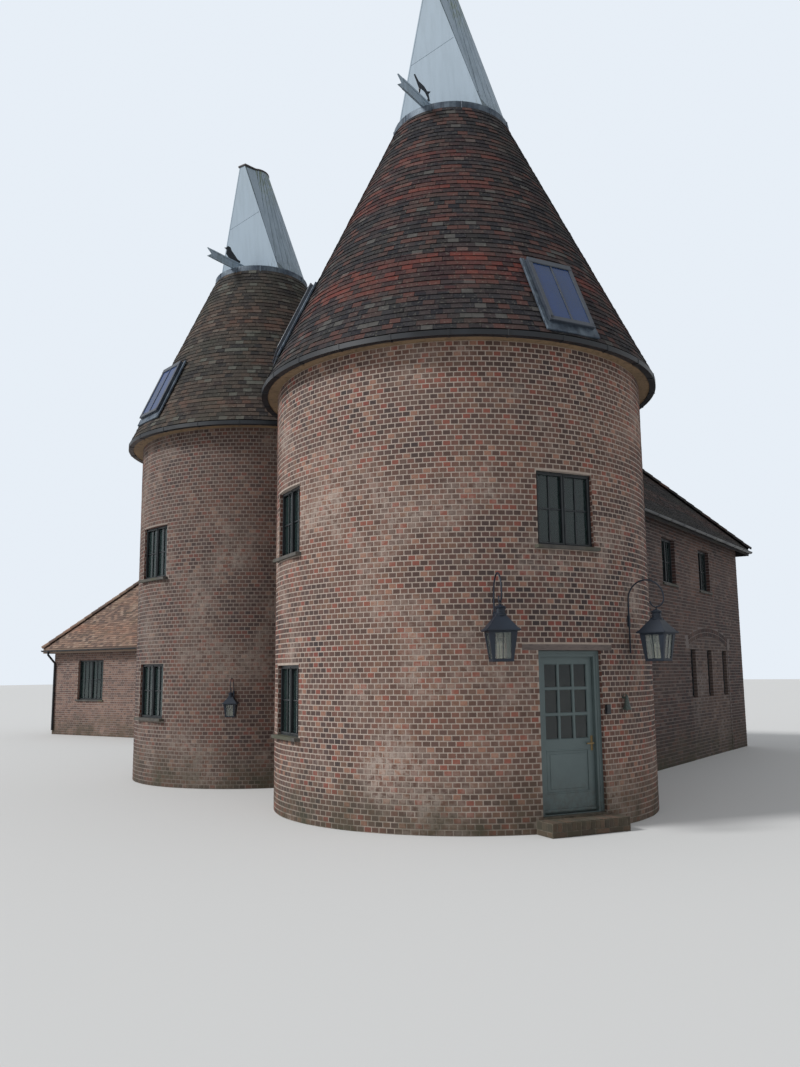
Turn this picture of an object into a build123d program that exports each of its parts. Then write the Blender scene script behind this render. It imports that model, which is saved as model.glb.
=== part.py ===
from build123d import *

import math
import os

# Converted oast house, in millimetres. The origin is on the axis of the main kiln at ground level,
# +Z is up, +Y runs along the barn away from the kilns, and +X is the outward face of the barn's right wall.
# An angle round a kiln is counted from -Y towards +X.

# Masonry and floors shared by the whole building
WALL = 330
FLOOR_TOP = 205
UPPER_FLOOR = 3000
UPPER_FLOOR_DEPTH = 150
BELOW = -500
ABOVE = 16000
FIT = 0.3

# Main kiln and left kiln: plan, wall, eaves and cone, with a narrow passage between their walls
MAIN_RADIUS = 3050
LEFT_RADIUS = 2500
KILN_PASSAGE = 480
MAIN = {"x": 0, "y": 0, "radius": MAIN_RADIUS, "wall": 6700, "curb": 11580, "overhang": 175}
LEFT_X = -(MAIN_RADIUS + KILN_PASSAGE + LEFT_RADIUS)
LEFT = {"x": LEFT_X, "y": 1600, "radius": LEFT_RADIUS, "wall": 6900, "curb": 10830, "overhang": 205}
KILNS = (MAIN, LEFT)
EAVES_DEPTH = 80
EAVES_SEAT = 200
CONE_DRIP = 75
CONE_SHELL = 130
RING_GUTTER = 100
RING_GUTTER_DEPTH = 75
GUTTER_WALL = 8
CURB_RADIUS = 1040
CURB_WIDTH = 150
CURB_DEPTH = 110
WEDGE_STEP = 30

# Wall segments of the kilns, as start and end angles
MAIN_SEGMENTS = {"front": (-60, 38), "right": (82, 158), "back": (158, 300)}
LEFT_SEGMENTS = {"front": (-58, 76), "back": (76, 196), "left": (196, 302)}
DOOR_BAY = (38, 82)

# Casement windows: width, member, depth and setback of the frame, its sill and its glass
CASEMENT = 950
CASEMENT_HEIGHT = 1050
MEMBER = 50
FRAME_DEPTH = 70
SETBACK = 90
GLASS = 6
SILL_DEPTH = 50
SILL_NOSE = 45
SILL_EAR = 50
MAIN_WINDOWS = ((-30, 1180), (-30, 3900), (60, 3820))
LEFT_WINDOWS = ((-14, 1270), (-14, 4020), (-104, 1270), (-104, 4020))

# Roof windows on the cones: angle and height of the centre, in the slope
SKYLIGHT_WIDTH = 780
SKYLIGHT_LENGTH = 1250
SKYLIGHT_MEMBER = 60
SKYLIGHT_PROUD = 80
MAIN_SKYLIGHTS = ((61, 7520), (-42, 7860))
LEFT_SKYLIGHTS = ((-16, 7950),)

# Entrance in the main kiln
DOOR_ANGLE = 60
DOOR_WIDTH = 1050
DOOR_HEAD = 2385
JAMB = 70
DOOR_FRAME_DEPTH = 100
DOOR_SETBACK = 120
STOP = 14
THRESHOLD = 12
LEAF = 44
LEAF_GAP = 7
LEAF_PANES = 3
LEAF_STILE = 95
LEAF_TOP_RAIL = 105
LEAF_LOCK_RAIL = 965
LEAF_PANE_TOP_GAP = 28
LEAF_PANEL = (250, 830)
LEAF_PANEL_RECESS = 10
HINGE_KNUCKLE = 8
HINGE_PIN = 4
HINGE_RUNNING = 0.05
HINGE_LENGTH = 102
HINGE_SPLIT = 0.5
HINGE_STRAP = 40
HINGE_PLATE = 3
HINGE_HEIGHTS = (430, 1250, 2070)
HANDLE_HEIGHT = 1120
HANDLE_PLATE = (38, 200, 6)
HANDLE_SHANK = 50
HANDLE_BAR = 110
HANDLE_RADIUS = 9
LINTEL = (1500, 80, 210)
STEP_WIDTH = 1250
STEP_TREAD = 300
STEP_DROP = 25

# Wall lights
LANTERN_ANGLES = (38.7, 82.8)
LANTERN_FOOT = 2245
LANTERN_REACH = 430
SMALL_LANTERN = {"angle": 33, "foot": 1330, "reach": 250, "scale": 0.62}
LANTERN_GLASS_TOP = 350
LANTERN_GLASS_FOOT = 250
LANTERN_GLASS_HEIGHT = 385
LANTERN_HOOD = 430
LANTERN_HOOD_HEIGHT = 200
LANTERN_CHIMNEY = 120
LANTERN_CHIMNEY_HEIGHT = 110
LANTERN_PANE = 4
ARM_RADIUS = 11
ARM_ROD = 765
ARM_CURL = 120
ARM_END_CURL = 90
ARM_LINK = 55
ARM_LINK_RADIUS = 7
WALL_BOX = (70, 160)
BELL = {"angle": 78.2, "foot": 1560, "height": 190, "radius": 58, "waist": 41, "crown": 19, "stand_off": 70}
BELL_WAIST_HEIGHT = 63
BELL_STEM = (20, 152, 180)
ENTRY_BOX = {"angle": 71.2, "foot": 1510, "size": (75, 45, 130)}

# Barn: plan, eaves, pitch and openings, with its front wall let into the main kiln
BARN_LENGTH = 10900
BARN_FRONT = MAIN_RADIUS - 100
BARN_BACK = BARN_FRONT + BARN_LENGTH
BARN_LEFT = LEFT_X - 970
BARN = {"x0": BARN_LEFT, "x1": 1083, "y0": BARN_FRONT, "y1": BARN_BACK, "eaves": 5500, "pitch": 44}
OVERHANG = 300
ROOF_DEPTH = 120
BARN_RIGHT_WINDOWS = (BARN_BACK - 6080, BARN_BACK - 3250)
BARN_BACK_WINDOWS = (BARN_LEFT + 1900, BARN_LEFT + 4040, BARN_LEFT + 6180)
BARN_LEFT_WINDOWS = (BARN_FRONT + 2650,)
BARN_UPPER_SILL = 4080
BARN_LOWER_SILL = 1250
ARCH_CENTRE = BARN_BACK - 3180
ARCH_SPAN = 3400
ARCH_SPRING = 2700
ARCH_RISE = 230
ARCH_RING = 225
ARCH_SETBACK = 12
FAN_SPREAD = 1.3
INFILL = 215
SLOT_WIDTH = 400
SLOT_FOOT = 1450
SLOT_HEIGHT = 1150
SLOT_OFFSET = 1380

# Wing: plan, eaves, pitch and windows
WING_LENGTH = 15200
WING_DEPTH = 5650
WING_END = BARN_LEFT - WING_LENGTH
WING_FRONT = BARN_BACK - WING_DEPTH
WING = {"x0": WING_END, "x1": BARN_LEFT, "y0": WING_FRONT, "y1": BARN_BACK, "eaves": 3100, "pitch": 46}
WING_ROOF_REACH = 3200
WING_WINDOWS = (WING_END + 2080, WING_END + 6200, WING_END + 10300)
WING_WINDOW_WIDTH = 1400
WING_WINDOW_HEIGHT = 1400
WING_SILL = 1255

# Gutters of the straight eaves, and the downpipe
GUTTER_RADIUS = 55
GUTTER_DROP = 60
PIPE_RADIUS = 38
PIPE_GAP = 12
PIPE_DROP = 110
PIPE_FOOT = 150
PIPE_CLIP_HEIGHT = 1000

# Cowls: an oblique cone of boards, drawn out by two flat cheeks to a leaning front panel, under a thin lid
COWL_BASE = 1000
COWL_TOP = 258
COWL_TOP_FORWARD = 225
COWL_HEIGHT = 2580
COWL_BOARD = 28
COWL_GAP = 12
PANEL_FOOT = 440
PANEL_HEAD = 694
PANEL_HEAD_WIDTH = 160
CHEEK_HEAD = (160, 420)
LID = 35
LID_NOSE = 25
LID_SLOPE = 4
POST_RADIUS = 60
POST_HEAD = 1780
POST_COLLAR = 110
POST_COLLAR_HEIGHT = 60
POST_CLEARANCE = 0.5
ARM_WIDTH = 70
ARM_DEPTH = 90
ARM_RISE = 60
BEAM_WIDTH = 220
BEAM_DEPTH = 200
BEAM_DROP = 850
VANE_LENGTH = 1280
VANE_HEIGHT = 190
VANE_NOTCH = 130
VANE_BOARD = 25
VANE_RISE = 40
MAIN_HEADING = 0
LEFT_HEADING = 0
FIGURE_PLATE = 12
FIGURE_PLACE = 720
FIGURE_SIZE = 500

# Outlines of the two vane figures, as fractions of their size: length, then height
RUNNER = (
    (0, 0.12), (0.14, 0), (0.18, 0.02), (0.12, 0.18), (0.3, 0.3), (0.58, 0.3), (0.66, 0.04), (0.71, 0.04),
    (0.7, 0.26), (0.84, 0.42), (1, 0.58), (0.94, 0.62), (0.72, 0.48), (0.36, 0.48), (0.18, 0.4),
    (-0.06, 0.52), (0.08, 0.34), (0.04, 0.22),
)
BIRD = (
    (0, 0.08), (0.1, 0), (0.64, 0), (0.88, 0.18), (0.83, 0.36), (0.98, 0.41), (0.86, 0.47), (0.77, 0.57),
    (0.62, 0.56), (0.54, 0.43), (0.3, 0.27), (0.17, 0.17), (0, 0.15),
)


def block(x0, x1, y0, y1, z0, z1):
    """A box between two corners."""
    size = Box(x1 - x0, y1 - y0, z1 - z0, align=(Align.MIN, Align.MIN, Align.MIN))
    return Pos(x0, y0, z0) * size


def tube(radius, z0, z1):
    """An upright cylinder on the axis."""
    return Pos(0, 0, z0) * Cylinder(radius, z1 - z0, align=(Align.CENTER, Align.CENTER, Align.MIN))


def turned(*profile):
    """A ring or cone turned about the axis, from points of radius and height."""
    return revolve(Plane.XZ * Polygon(*profile, align=None), Axis.Z)


def along_x(profile, x0, x1):
    """A bar along X, from points of Y and Z."""
    face = Plane(origin=(x0, 0, 0), x_dir=(0, 1, 0), z_dir=(1, 0, 0)) * Polygon(*profile, align=None)
    return extrude(face, amount=x1 - x0, dir=(1, 0, 0))


def along_y(profile, y0, y1):
    """A bar along Y, from points of X and Z."""
    face = Plane(origin=(0, y1, 0), x_dir=(1, 0, 0), z_dir=(0, -1, 0)) * Polygon(*profile, align=None)
    return extrude(face, amount=y1 - y0, dir=(0, -1, 0))


def direction(angle):
    """Unit vector at an angle round a kiln."""
    turn = math.radians(angle)
    return math.sin(turn), -math.cos(turn)


def wedge(start, end, reach, z0, z1):
    """An upright slice of a disc between two angles."""
    steps = math.ceil((end - start) / WEDGE_STEP)
    outline = [(0, 0)]
    for step in range(steps + 1):
        x, y = direction(start + (end - start) * step / steps)
        outline.append((reach * x, reach * y))
    return Pos(0, 0, z0) * extrude(Polygon(*outline, align=None), amount=z1 - z0, dir=(0, 0, 1))


def at_kiln(kiln, piece, angle=0):
    """Turn a piece that faces -Y to an angle and set it on a kiln's axis."""
    return Pos(kiln["x"], kiln["y"], 0) * Rot(0, 0, angle) * piece


def solids(*pieces):
    """All solids of some pieces, as one compound."""
    return Compound([solid for piece in pieces for solid in piece.solids()])


# Casements, sills and glass, facing -Y with the wall's face at y = 0


def casement_cut(width, height, foot):
    half = width / 2
    opening = block(-half, half, -WALL, 2 * WALL, foot, foot + height)
    bed = block(-half - SILL_EAR, half + SILL_EAR, -WALL, SETBACK + FRAME_DEPTH, foot - SILL_DEPTH, foot)
    return opening + bed


def casement_lights(width, height, foot):
    """Left edge, right edge, foot and head of the two lights of a casement."""
    light = (width - 3 * MEMBER) / 2
    for left in (-width / 2 + MEMBER, MEMBER / 2):
        yield left, left + light, foot + MEMBER, foot + height - MEMBER


def casement_frame(width, height, foot):
    frame = block(-width / 2, width / 2, SETBACK, SETBACK + FRAME_DEPTH, foot, foot + height)
    for left, right, low, high in casement_lights(width, height, foot):
        frame -= block(left, right, SETBACK - 1, SETBACK + FRAME_DEPTH + 1, low, high)
    return frame


def casement_glass(width, height, foot):
    face = SETBACK + (FRAME_DEPTH - GLASS) / 2
    panes = [
        block(left, right, face, face + GLASS, low, high)
        for left, right, low, high in casement_lights(width, height, foot)
    ]
    return solids(*panes)


def casement_sill(width, foot):
    half = width / 2 + SILL_EAR
    return block(-half, half, -SILL_NOSE, SETBACK + FRAME_DEPTH, foot - SILL_DEPTH, foot)


def kiln_place(kiln, angle):
    """Place of a window in a kiln's wall."""
    return Pos(kiln["x"], kiln["y"], 0) * Rot(0, 0, angle) * Pos(0, -kiln["radius"], 0)


def kiln_windows():
    places = [(kiln_place(MAIN, angle), foot) for angle, foot in MAIN_WINDOWS]
    places += [(kiln_place(LEFT, angle), foot) for angle, foot in LEFT_WINDOWS]
    return places


# The kilns


def kiln_shell(kiln):
    low_tube = tube(kiln["radius"], 0, kiln["wall"])
    return low_tube - tube(kiln["radius"] - WALL, -1, kiln["wall"] + 1)


def kiln_wall(kiln, windows, start, end):
    """A segment of the round wall with its windows cut through."""
    wall = kiln_shell(kiln) & wedge(start, end, 2 * kiln["radius"], -1, kiln["wall"] + 1)
    for angle, foot in windows:
        cut = Rot(0, 0, angle) * Pos(0, -kiln["radius"], 0) * casement_cut(CASEMENT, CASEMENT_HEIGHT, foot)
        wall -= cut
    return at_kiln(kiln, wall)


def slope(kiln):
    """Run, rise and angle of the cone's outside."""
    run = eaves_radius(kiln) + CONE_DRIP - CURB_RADIUS
    rise = kiln["curb"] - cone_foot(kiln)
    return run, rise, math.degrees(math.atan2(rise, run))


def eaves_radius(kiln):
    return kiln["radius"] + kiln["overhang"]


def cone_foot(kiln):
    return kiln["wall"] + EAVES_DEPTH


def cone_profile(kiln, inset):
    """Radius at the foot and at the curb of a cone set in from the outside."""
    run, rise, pitch = slope(kiln)
    level = inset / math.sin(math.radians(pitch))
    return eaves_radius(kiln) + CONE_DRIP - level, CURB_RADIUS - level


def cone_solid(kiln, inset, reach=0):
    """The full cone below the curb, carried on at its slope past both ends."""
    run, rise, pitch = slope(kiln)
    foot, head = cone_profile(kiln, inset)
    lean = reach / math.tan(math.radians(pitch))
    low = cone_foot(kiln) - reach
    high = kiln["curb"] + reach
    return turned((0, low), (foot + lean, low), (head - lean, high), (0, high))


def skylight_place(kiln, angle, height):
    """Frame of a roof window: x along the eaves, y up the slope, z out of the roof."""
    run, rise, pitch = slope(kiln)
    radius = CURB_RADIUS + (kiln["curb"] - height) * run / rise
    lean = math.radians(pitch)
    normal = (0, -math.sin(lean), math.cos(lean))
    plane = Plane(origin=(0, -radius, height), x_dir=(1, 0, 0), z_dir=normal)
    return Pos(kiln["x"], kiln["y"], 0) * Rot(0, 0, angle) * plane.location


def skylight_box(width, length, low, high):
    box = Box(width, length, high - low, align=(Align.CENTER, Align.CENTER, Align.MIN))
    return Pos(0, 0, low) * box


def skylight_frame():
    inner_width = SKYLIGHT_WIDTH - 2 * SKYLIGHT_MEMBER
    inner_length = SKYLIGHT_LENGTH - 2 * SKYLIGHT_MEMBER
    outer = skylight_box(SKYLIGHT_WIDTH, SKYLIGHT_LENGTH, -CONE_SHELL, SKYLIGHT_PROUD)
    return outer - skylight_box(inner_width, inner_length, -2 * CONE_SHELL, 2 * SKYLIGHT_PROUD)


def skylight_glass():
    inner_width = SKYLIGHT_WIDTH - 2 * SKYLIGHT_MEMBER
    inner_length = SKYLIGHT_LENGTH - 2 * SKYLIGHT_MEMBER
    high = SKYLIGHT_PROUD - GLASS
    return skylight_box(inner_width, inner_length, high - 4 * GLASS, high)


def skylight_places():
    places = [skylight_place(MAIN, *spot) for spot in MAIN_SKYLIGHTS]
    places += [skylight_place(LEFT, *spot) for spot in LEFT_SKYLIGHTS]
    return places


def kiln_roof(kiln, spots):
    roof = cone_solid(kiln, 0) - cone_solid(kiln, CONE_SHELL, CONE_SHELL)
    roof = at_kiln(kiln, roof)
    for angle, height in spots:
        hole = skylight_box(SKYLIGHT_WIDTH, SKYLIGHT_LENGTH, -3 * CONE_SHELL, 3 * CONE_SHELL)
        roof -= skylight_place(kiln, angle, height) * hole
    return roof


def eaves_ring(kiln):
    outer = eaves_radius(kiln)
    inner = kiln["radius"] - EAVES_SEAT
    low, high = kiln["wall"], cone_foot(kiln)
    return at_kiln(kiln, turned((inner, low), (outer, low), (outer, high), (inner, high)))


def ring_gutter(kiln):
    """A box-section ring gutter against the eaves ring, open at its top."""
    inner = eaves_radius(kiln)
    outer = inner + RING_GUTTER
    high = cone_foot(kiln) - 2 * GUTTER_WALL
    low = high - RING_GUTTER_DEPTH
    section = turned((inner, low), (outer, low), (outer, high), (inner, high))
    bed = turned(
        (inner + GUTTER_WALL, low + GUTTER_WALL),
        (outer - GUTTER_WALL, low + GUTTER_WALL),
        (outer - GUTTER_WALL, high + 1),
        (inner + GUTTER_WALL, high + 1),
    )
    return at_kiln(kiln, section - bed)


def curb(kiln):
    low, high = kiln["curb"], kiln["curb"] + CURB_DEPTH
    inner = CURB_RADIUS - CURB_WIDTH
    return at_kiln(kiln, turned((inner, low), (CURB_RADIUS, low), (CURB_RADIUS, high), (inner, high)))


def beam_top(kiln):
    return kiln["curb"] - BEAM_DROP


def cross_beam(kiln):
    """The timber across the cone that the cowl's post turns in."""
    high = beam_top(kiln)
    reach = kiln["radius"]
    beam = block(-reach, reach, -BEAM_WIDTH / 2, BEAM_WIDTH / 2, high - BEAM_DEPTH, high)
    beam &= cone_solid(kiln, CONE_SHELL)
    beam -= tube(POST_RADIUS + POST_CLEARANCE, high - 2 * BEAM_DEPTH, high + BEAM_DEPTH)
    return at_kiln(kiln, beam)


def kiln_disc(kiln, low, high):
    return at_kiln(kiln, tube(kiln["radius"] - WALL, low, high))


# Entrance, built facing -Y on the main kiln's axis and turned to the door's angle

FRAME_FACE = -(MAIN["radius"] - DOOR_SETBACK)
LEAF_INNER = FRAME_FACE + DOOR_FRAME_DEPTH
LEAF_OUTER = LEAF_INNER - LEAF
LEAF_HALF = DOOR_WIDTH / 2 - JAMB - LEAF_GAP
LEAF_FOOT = FLOOR_TOP + THRESHOLD + LEAF_GAP
LEAF_HEAD = DOOR_HEAD - JAMB - LEAF_GAP
PIN_X = -(LEAF_HALF + LEAF_GAP / 2)
PIN_Y = LEAF_INNER + HINGE_KNUCKLE + FIT


def at_door(piece):
    return at_kiln(MAIN, piece, DOOR_ANGLE)


def doorway(low, high):
    half = DOOR_WIDTH / 2
    return block(-half, half, -2 * MAIN["radius"], 0, low, high)


def lintel_bed():
    length, height, depth = LINTEL
    inner = FRAME_FACE + DOOR_SETBACK / 2 + depth
    return block(-length / 2, length / 2, -2 * MAIN["radius"], inner, DOOR_HEAD, DOOR_HEAD + height)


def door_lintel():
    """A timber over the doorway, its front worked round to the wall's curve."""
    bed = lintel_bed() & tube(MAIN["radius"], 0, MAIN["wall"])
    return at_door(bed)


def door_piers():
    """The wall on both sides of the doorway, up to its head."""
    piers = kiln_shell(MAIN) & wedge(*DOOR_BAY, 2 * MAIN["radius"], -1, DOOR_HEAD)
    piers &= block(-ABOVE, ABOVE, -ABOVE, ABOVE, -1, DOOR_HEAD)
    return piers - Rot(0, 0, DOOR_ANGLE) * doorway(-1, DOOR_HEAD + 1)


def wall_over_door():
    wall = kiln_shell(MAIN) & wedge(*DOOR_BAY, 2 * MAIN["radius"], DOOR_HEAD, MAIN["wall"])
    wall -= Rot(0, 0, DOOR_ANGLE) * lintel_bed()
    angle, foot = MAIN_WINDOWS[-1]
    cut = Pos(0, -MAIN["radius"], 0) * casement_cut(CASEMENT, CASEMENT_HEIGHT, foot)
    return wall - Rot(0, 0, angle) * cut


def door_frame():
    """Two jambs, a head and a threshold, with a stop on the outside."""
    half = DOOR_WIDTH / 2
    inner = half - JAMB
    frame = block(-half, half, FRAME_FACE, LEAF_INNER, FLOOR_TOP, DOOR_HEAD)
    frame -= block(-inner, inner, FRAME_FACE - 1, LEAF_INNER + 1, FLOOR_TOP + THRESHOLD, DOOR_HEAD - JAMB)
    stop_face = LEAF_OUTER - LEAF_GAP
    stop = block(-inner, inner, FRAME_FACE, stop_face, FLOOR_TOP + THRESHOLD, DOOR_HEAD - JAMB)
    gap = inner - STOP
    stop -= block(-gap, gap, FRAME_FACE - 1, stop_face + 1, FLOOR_TOP, DOOR_HEAD - JAMB - STOP)
    return at_door(frame + stop)


def hinge_half(low, high, way):
    """One knuckle of a butt hinge and the plate that is screwed to the timber beside it."""
    edges = sorted((0, way * HINGE_STRAP))
    knuckle = tube(HINGE_KNUCKLE, low, high)
    foot = -HINGE_KNUCKLE - FIT
    return knuckle + block(*edges, foot, foot + HINGE_PLATE, low, high)


def door_hinges():
    """The fixed halves with their pins, then the halves that turn with the leaf."""
    half = HINGE_LENGTH / 2
    third = HINGE_LENGTH / 6
    fixed, turning = [], []
    for height in HINGE_HEIGHTS:
        place = Pos(PIN_X, PIN_Y, height)
        jamb_side = hinge_half(-half, -third, -1) + hinge_half(third, half, -1) + tube(HINGE_PIN, -half, half)
        leaf_side = hinge_half(-third + HINGE_SPLIT, third - HINGE_SPLIT, 1)
        leaf_side -= tube(HINGE_PIN + HINGE_RUNNING, -half, half)
        fixed.append(place * jamb_side)
        turning.append(place * leaf_side)
    return at_door(solids(*fixed)), at_door(solids(*turning))


def leaf_panes():
    """Left edge, right edge, foot and head of the leaf's panes."""
    wide = (2 * LEAF_HALF - 2 * LEAF_STILE - (LEAF_PANES - 1) * LEAF_PANE_TOP_GAP) / LEAF_PANES
    low = LEAF_FOOT + LEAF_LOCK_RAIL
    high = LEAF_HEAD - LEAF_TOP_RAIL
    tall = (high - low - (LEAF_PANES - 1) * LEAF_PANE_TOP_GAP) / LEAF_PANES
    for column in range(LEAF_PANES):
        for row in range(LEAF_PANES):
            x = -LEAF_HALF + LEAF_STILE + column * (wide + LEAF_PANE_TOP_GAP)
            z = low + row * (tall + LEAF_PANE_TOP_GAP)
            yield x, x + wide, z, z + tall


def door_leaf():
    leaf = block(-LEAF_HALF, LEAF_HALF, LEAF_OUTER, LEAF_INNER, LEAF_FOOT, LEAF_HEAD)
    for left, right, low, high in leaf_panes():
        leaf -= block(left, right, LEAF_OUTER - 1, LEAF_INNER + 1, low, high)
    edge = LEAF_HALF - LEAF_STILE
    low, high = (LEAF_FOOT + level for level in LEAF_PANEL)
    leaf -= block(-edge, edge, LEAF_OUTER - 1, LEAF_OUTER + LEAF_PANEL_RECESS, low, high)
    leaf -= block(-edge, edge, LEAF_INNER - LEAF_PANEL_RECESS, LEAF_INNER + 1, low, high)
    return at_door(leaf)


def door_glass():
    face = LEAF_OUTER + (LEAF - GLASS) / 2
    panes = [block(left, right, face, face + GLASS, low, high) for left, right, low, high in leaf_panes()]
    return at_door(solids(*panes))


def door_handle():
    """A plate and a lever on both faces of the leaf."""
    width, height, plate = HANDLE_PLATE
    x = LEAF_HALF - LEAF_STILE / 2
    levers = []
    for face, way in ((LEAF_OUTER, -1), (LEAF_INNER, 1)):
        near, far = sorted((face, face + way * plate))
        low, high = HANDLE_HEIGHT - height / 2, HANDLE_HEIGHT + height / 2
        back = block(x - width / 2, x + width / 2, near, far, low, high)
        near, far = sorted((face, face + way * HANDLE_SHANK))
        shank = Pos(x, near, HANDLE_HEIGHT) * Rot(-90, 0, 0) * Cylinder(
            HANDLE_RADIUS, far - near, align=(Align.CENTER, Align.CENTER, Align.MIN)
        )
        bar_y = face + way * (HANDLE_SHANK - HANDLE_RADIUS)
        bar = block(
            x - HANDLE_BAR, x + HANDLE_RADIUS, bar_y - HANDLE_RADIUS, bar_y + HANDLE_RADIUS,
            HANDLE_HEIGHT - HANDLE_RADIUS, HANDLE_HEIGHT + HANDLE_RADIUS,
        )
        levers.append(back + shank + bar)
    return at_door(solids(*levers))


def door_step():
    """Brick step outside the door, and the sill block that fills the foot of the doorway."""
    front = -(MAIN["radius"] + STEP_TREAD)
    tread = block(-STEP_WIDTH / 2, STEP_WIDTH / 2, front, -MAIN["radius"] / 2, 0, FLOOR_TOP - STEP_DROP)
    tread -= tube(MAIN["radius"], -1, ABOVE)
    sill = kiln_shell(MAIN) & doorway(0, FLOOR_TOP)
    return at_door(tread + sill)


# Wall lights


def lantern_bracket(reach, foot, size):
    """A rod held off the wall by a box, bowed over and curled in under itself, with a link at y = -reach."""
    arm = ARM_RADIUS * size
    width, height = WALL_BOX
    near = -2 * arm
    hang = near - reach
    top = foot + ARM_ROD * size
    curl, end_curl = ARM_CURL * size, ARM_END_CURL * size
    bow = reach + curl
    lean = math.sqrt(0.5)
    low = top - curl
    path = Line((0, near, foot), (0, near, top))
    path += ThreePointArc((0, near, top), (0, near - bow / 2, top + bow / 2), (0, near - bow, top))
    path += ThreePointArc((0, near - bow, top), (0, hang - curl * lean, top - curl * lean), (0, hang, low))
    path += ThreePointArc(
        (0, hang, low), (0, hang + end_curl * lean, low + end_curl * (1 - lean)), (0, hang + end_curl, low + end_curl)
    )
    neck = sweep(Pos(0, near, foot) * Circle(arm), path=path)
    box_foot = foot + ARM_ROD * size / 2
    box = block(-width / 4, width / 4, -width / 2, 0, box_foot, box_foot + height)
    link = Pos(0, hang, low - ARM_LINK * size) * Cylinder(
        ARM_LINK_RADIUS * size, ARM_LINK * size, align=(Align.CENTER, Align.CENTER, Align.MIN)
    )
    return neck + box + link


def lantern(size):
    """A four-sided tapered lantern hung at the axis, foot at z = 0: frame, then panes."""
    glass_top, glass_foot = LANTERN_GLASS_TOP * size, LANTERN_GLASS_FOOT * size
    height = LANTERN_GLASS_HEIGHT * size
    hood_height = LANTERN_HOOD_HEIGHT * size
    bar = 2 * ARM_RADIUS * size
    body = frustum(glass_foot, glass_top, height)
    inside = frustum(glass_foot - 2 * LANTERN_PANE, glass_top - 2 * LANTERN_PANE, height)
    cage = frustum(glass_foot + bar, glass_top + bar, height) - body
    for turn in (0, 90):
        half = glass_foot / 2 - bar
        side = block(-ABOVE, ABOVE, -half, half, bar, height - bar)
        cage -= Rot(0, 0, turn) * side
    base = block(-glass_foot / 2, glass_foot / 2, -glass_foot / 2, glass_foot / 2, -bar / 2, 0)
    chimney = LANTERN_CHIMNEY * size
    hood = Pos(0, 0, height) * frustum(LANTERN_HOOD * size, chimney, hood_height)
    neck = Pos(0, 0, height + hood_height) * Cylinder(
        chimney / 2, LANTERN_CHIMNEY_HEIGHT * size, align=(Align.CENTER, Align.CENTER, Align.MIN)
    )
    return cage + base + hood + neck, body - inside


def frustum(foot, top, height):
    """A square pyramid without its tip."""
    low = Rectangle(foot, foot)
    high = Pos(0, 0, height) * Rectangle(top, top)
    return loft([low.faces()[0], high.faces()[0]], ruled=True)


def lantern_height(size):
    return (LANTERN_GLASS_HEIGHT + LANTERN_HOOD_HEIGHT + LANTERN_CHIMNEY_HEIGHT) * size


def lantern_sets():
    """Place, reach, size and foot of every lantern."""
    for angle in LANTERN_ANGLES:
        yield kiln_place(MAIN, angle), LANTERN_REACH, 1, LANTERN_FOOT
    small = SMALL_LANTERN
    yield kiln_place(LEFT, small["angle"]), small["reach"], small["scale"], small["foot"]


def wall_lights():
    brackets, frames, panes = [], [], []
    for place, reach, size, foot in lantern_sets():
        frame, glass = lantern(size)
        hang = place * Pos(0, -2 * ARM_RADIUS * size - reach, foot)
        frames.append(hang * frame)
        panes.append(hang * glass)
        rod_foot = foot + lantern_height(size) + (ARM_LINK + ARM_CURL - ARM_ROD) * size
        brackets.append(place * lantern_bracket(reach, rod_foot, size))
    return solids(*brackets), solids(*frames), solids(*panes)


def door_fittings():
    """A small black box and a bell-shaped lamp beside the door."""
    width, depth, height = ENTRY_BOX["size"]
    foot = ENTRY_BOX["foot"]
    box = block(-width / 2, width / 2, -depth, depth, foot, foot + height)
    box = Rot(0, 0, ENTRY_BOX["angle"]) * Pos(0, -MAIN["radius"], 0) * box
    profile = ((BELL["radius"], 0), (BELL["waist"], BELL_WAIST_HEIGHT), (BELL["crown"], BELL["height"]))
    bell = turned((0, 0), *profile, (0, BELL["height"]))
    stem_width, low, high = BELL_STEM
    bell += block(-stem_width / 2, stem_width / 2, 0, 2 * BELL["stand_off"], low, high)
    bell = Rot(0, 0, BELL["angle"]) * Pos(0, -MAIN["radius"] - BELL["stand_off"], BELL["foot"]) * bell
    trim = tube(MAIN["radius"], -1, ABOVE)
    return solids(box - trim, bell - trim)


# Hipped roofs and straight walls


def roof_volume(plan, top, drop, low):
    """The space under a hipped roof's surface, lowered by a drop, over its eaves rectangle."""
    x0, x1 = plan["x0"] - OVERHANG, plan["x1"] + OVERHANG
    y0, y1 = plan["y0"] - OVERHANG, plan["y1"] + OVERHANG
    rise = math.tan(math.radians(plan["pitch"]))
    eaves = top - drop
    return along_y(gable(x0, x1, low, eaves, rise), y0, y1) & along_x(gable(y0, y1, low, eaves, rise), x0, x1)


def gable(start, end, low, eaves, rise):
    """Outline of a wall and its gable over one span."""
    peak = ((start + end) / 2, eaves + (end - start) / 2 * rise)
    return (start, low), (start, eaves), peak, (end, eaves), (end, low)


def roof_drop(plan):
    return ROOF_DEPTH / math.cos(math.radians(plan["pitch"]))


def roof_shell(plan):
    drop = roof_drop(plan)
    outer = roof_volume(plan, plan["eaves"], 0, plan["eaves"] - drop)
    return outer - roof_volume(plan, plan["eaves"], drop, BELOW)


def under_roof(plan):
    return roof_volume(plan, plan["eaves"], roof_drop(plan), BELOW)


def kiln_clearance(kiln):
    """The space a kiln takes from the barn: its wall, then its gutter and cone."""
    rim = eaves_radius(kiln) + RING_GUTTER
    split = kiln["wall"] - 2 * RING_GUTTER_DEPTH
    return at_kiln(kiln, tube(kiln["radius"], BELOW, split) + tube(rim + 4 * GUTTER_WALL, split, ABOVE))


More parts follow.
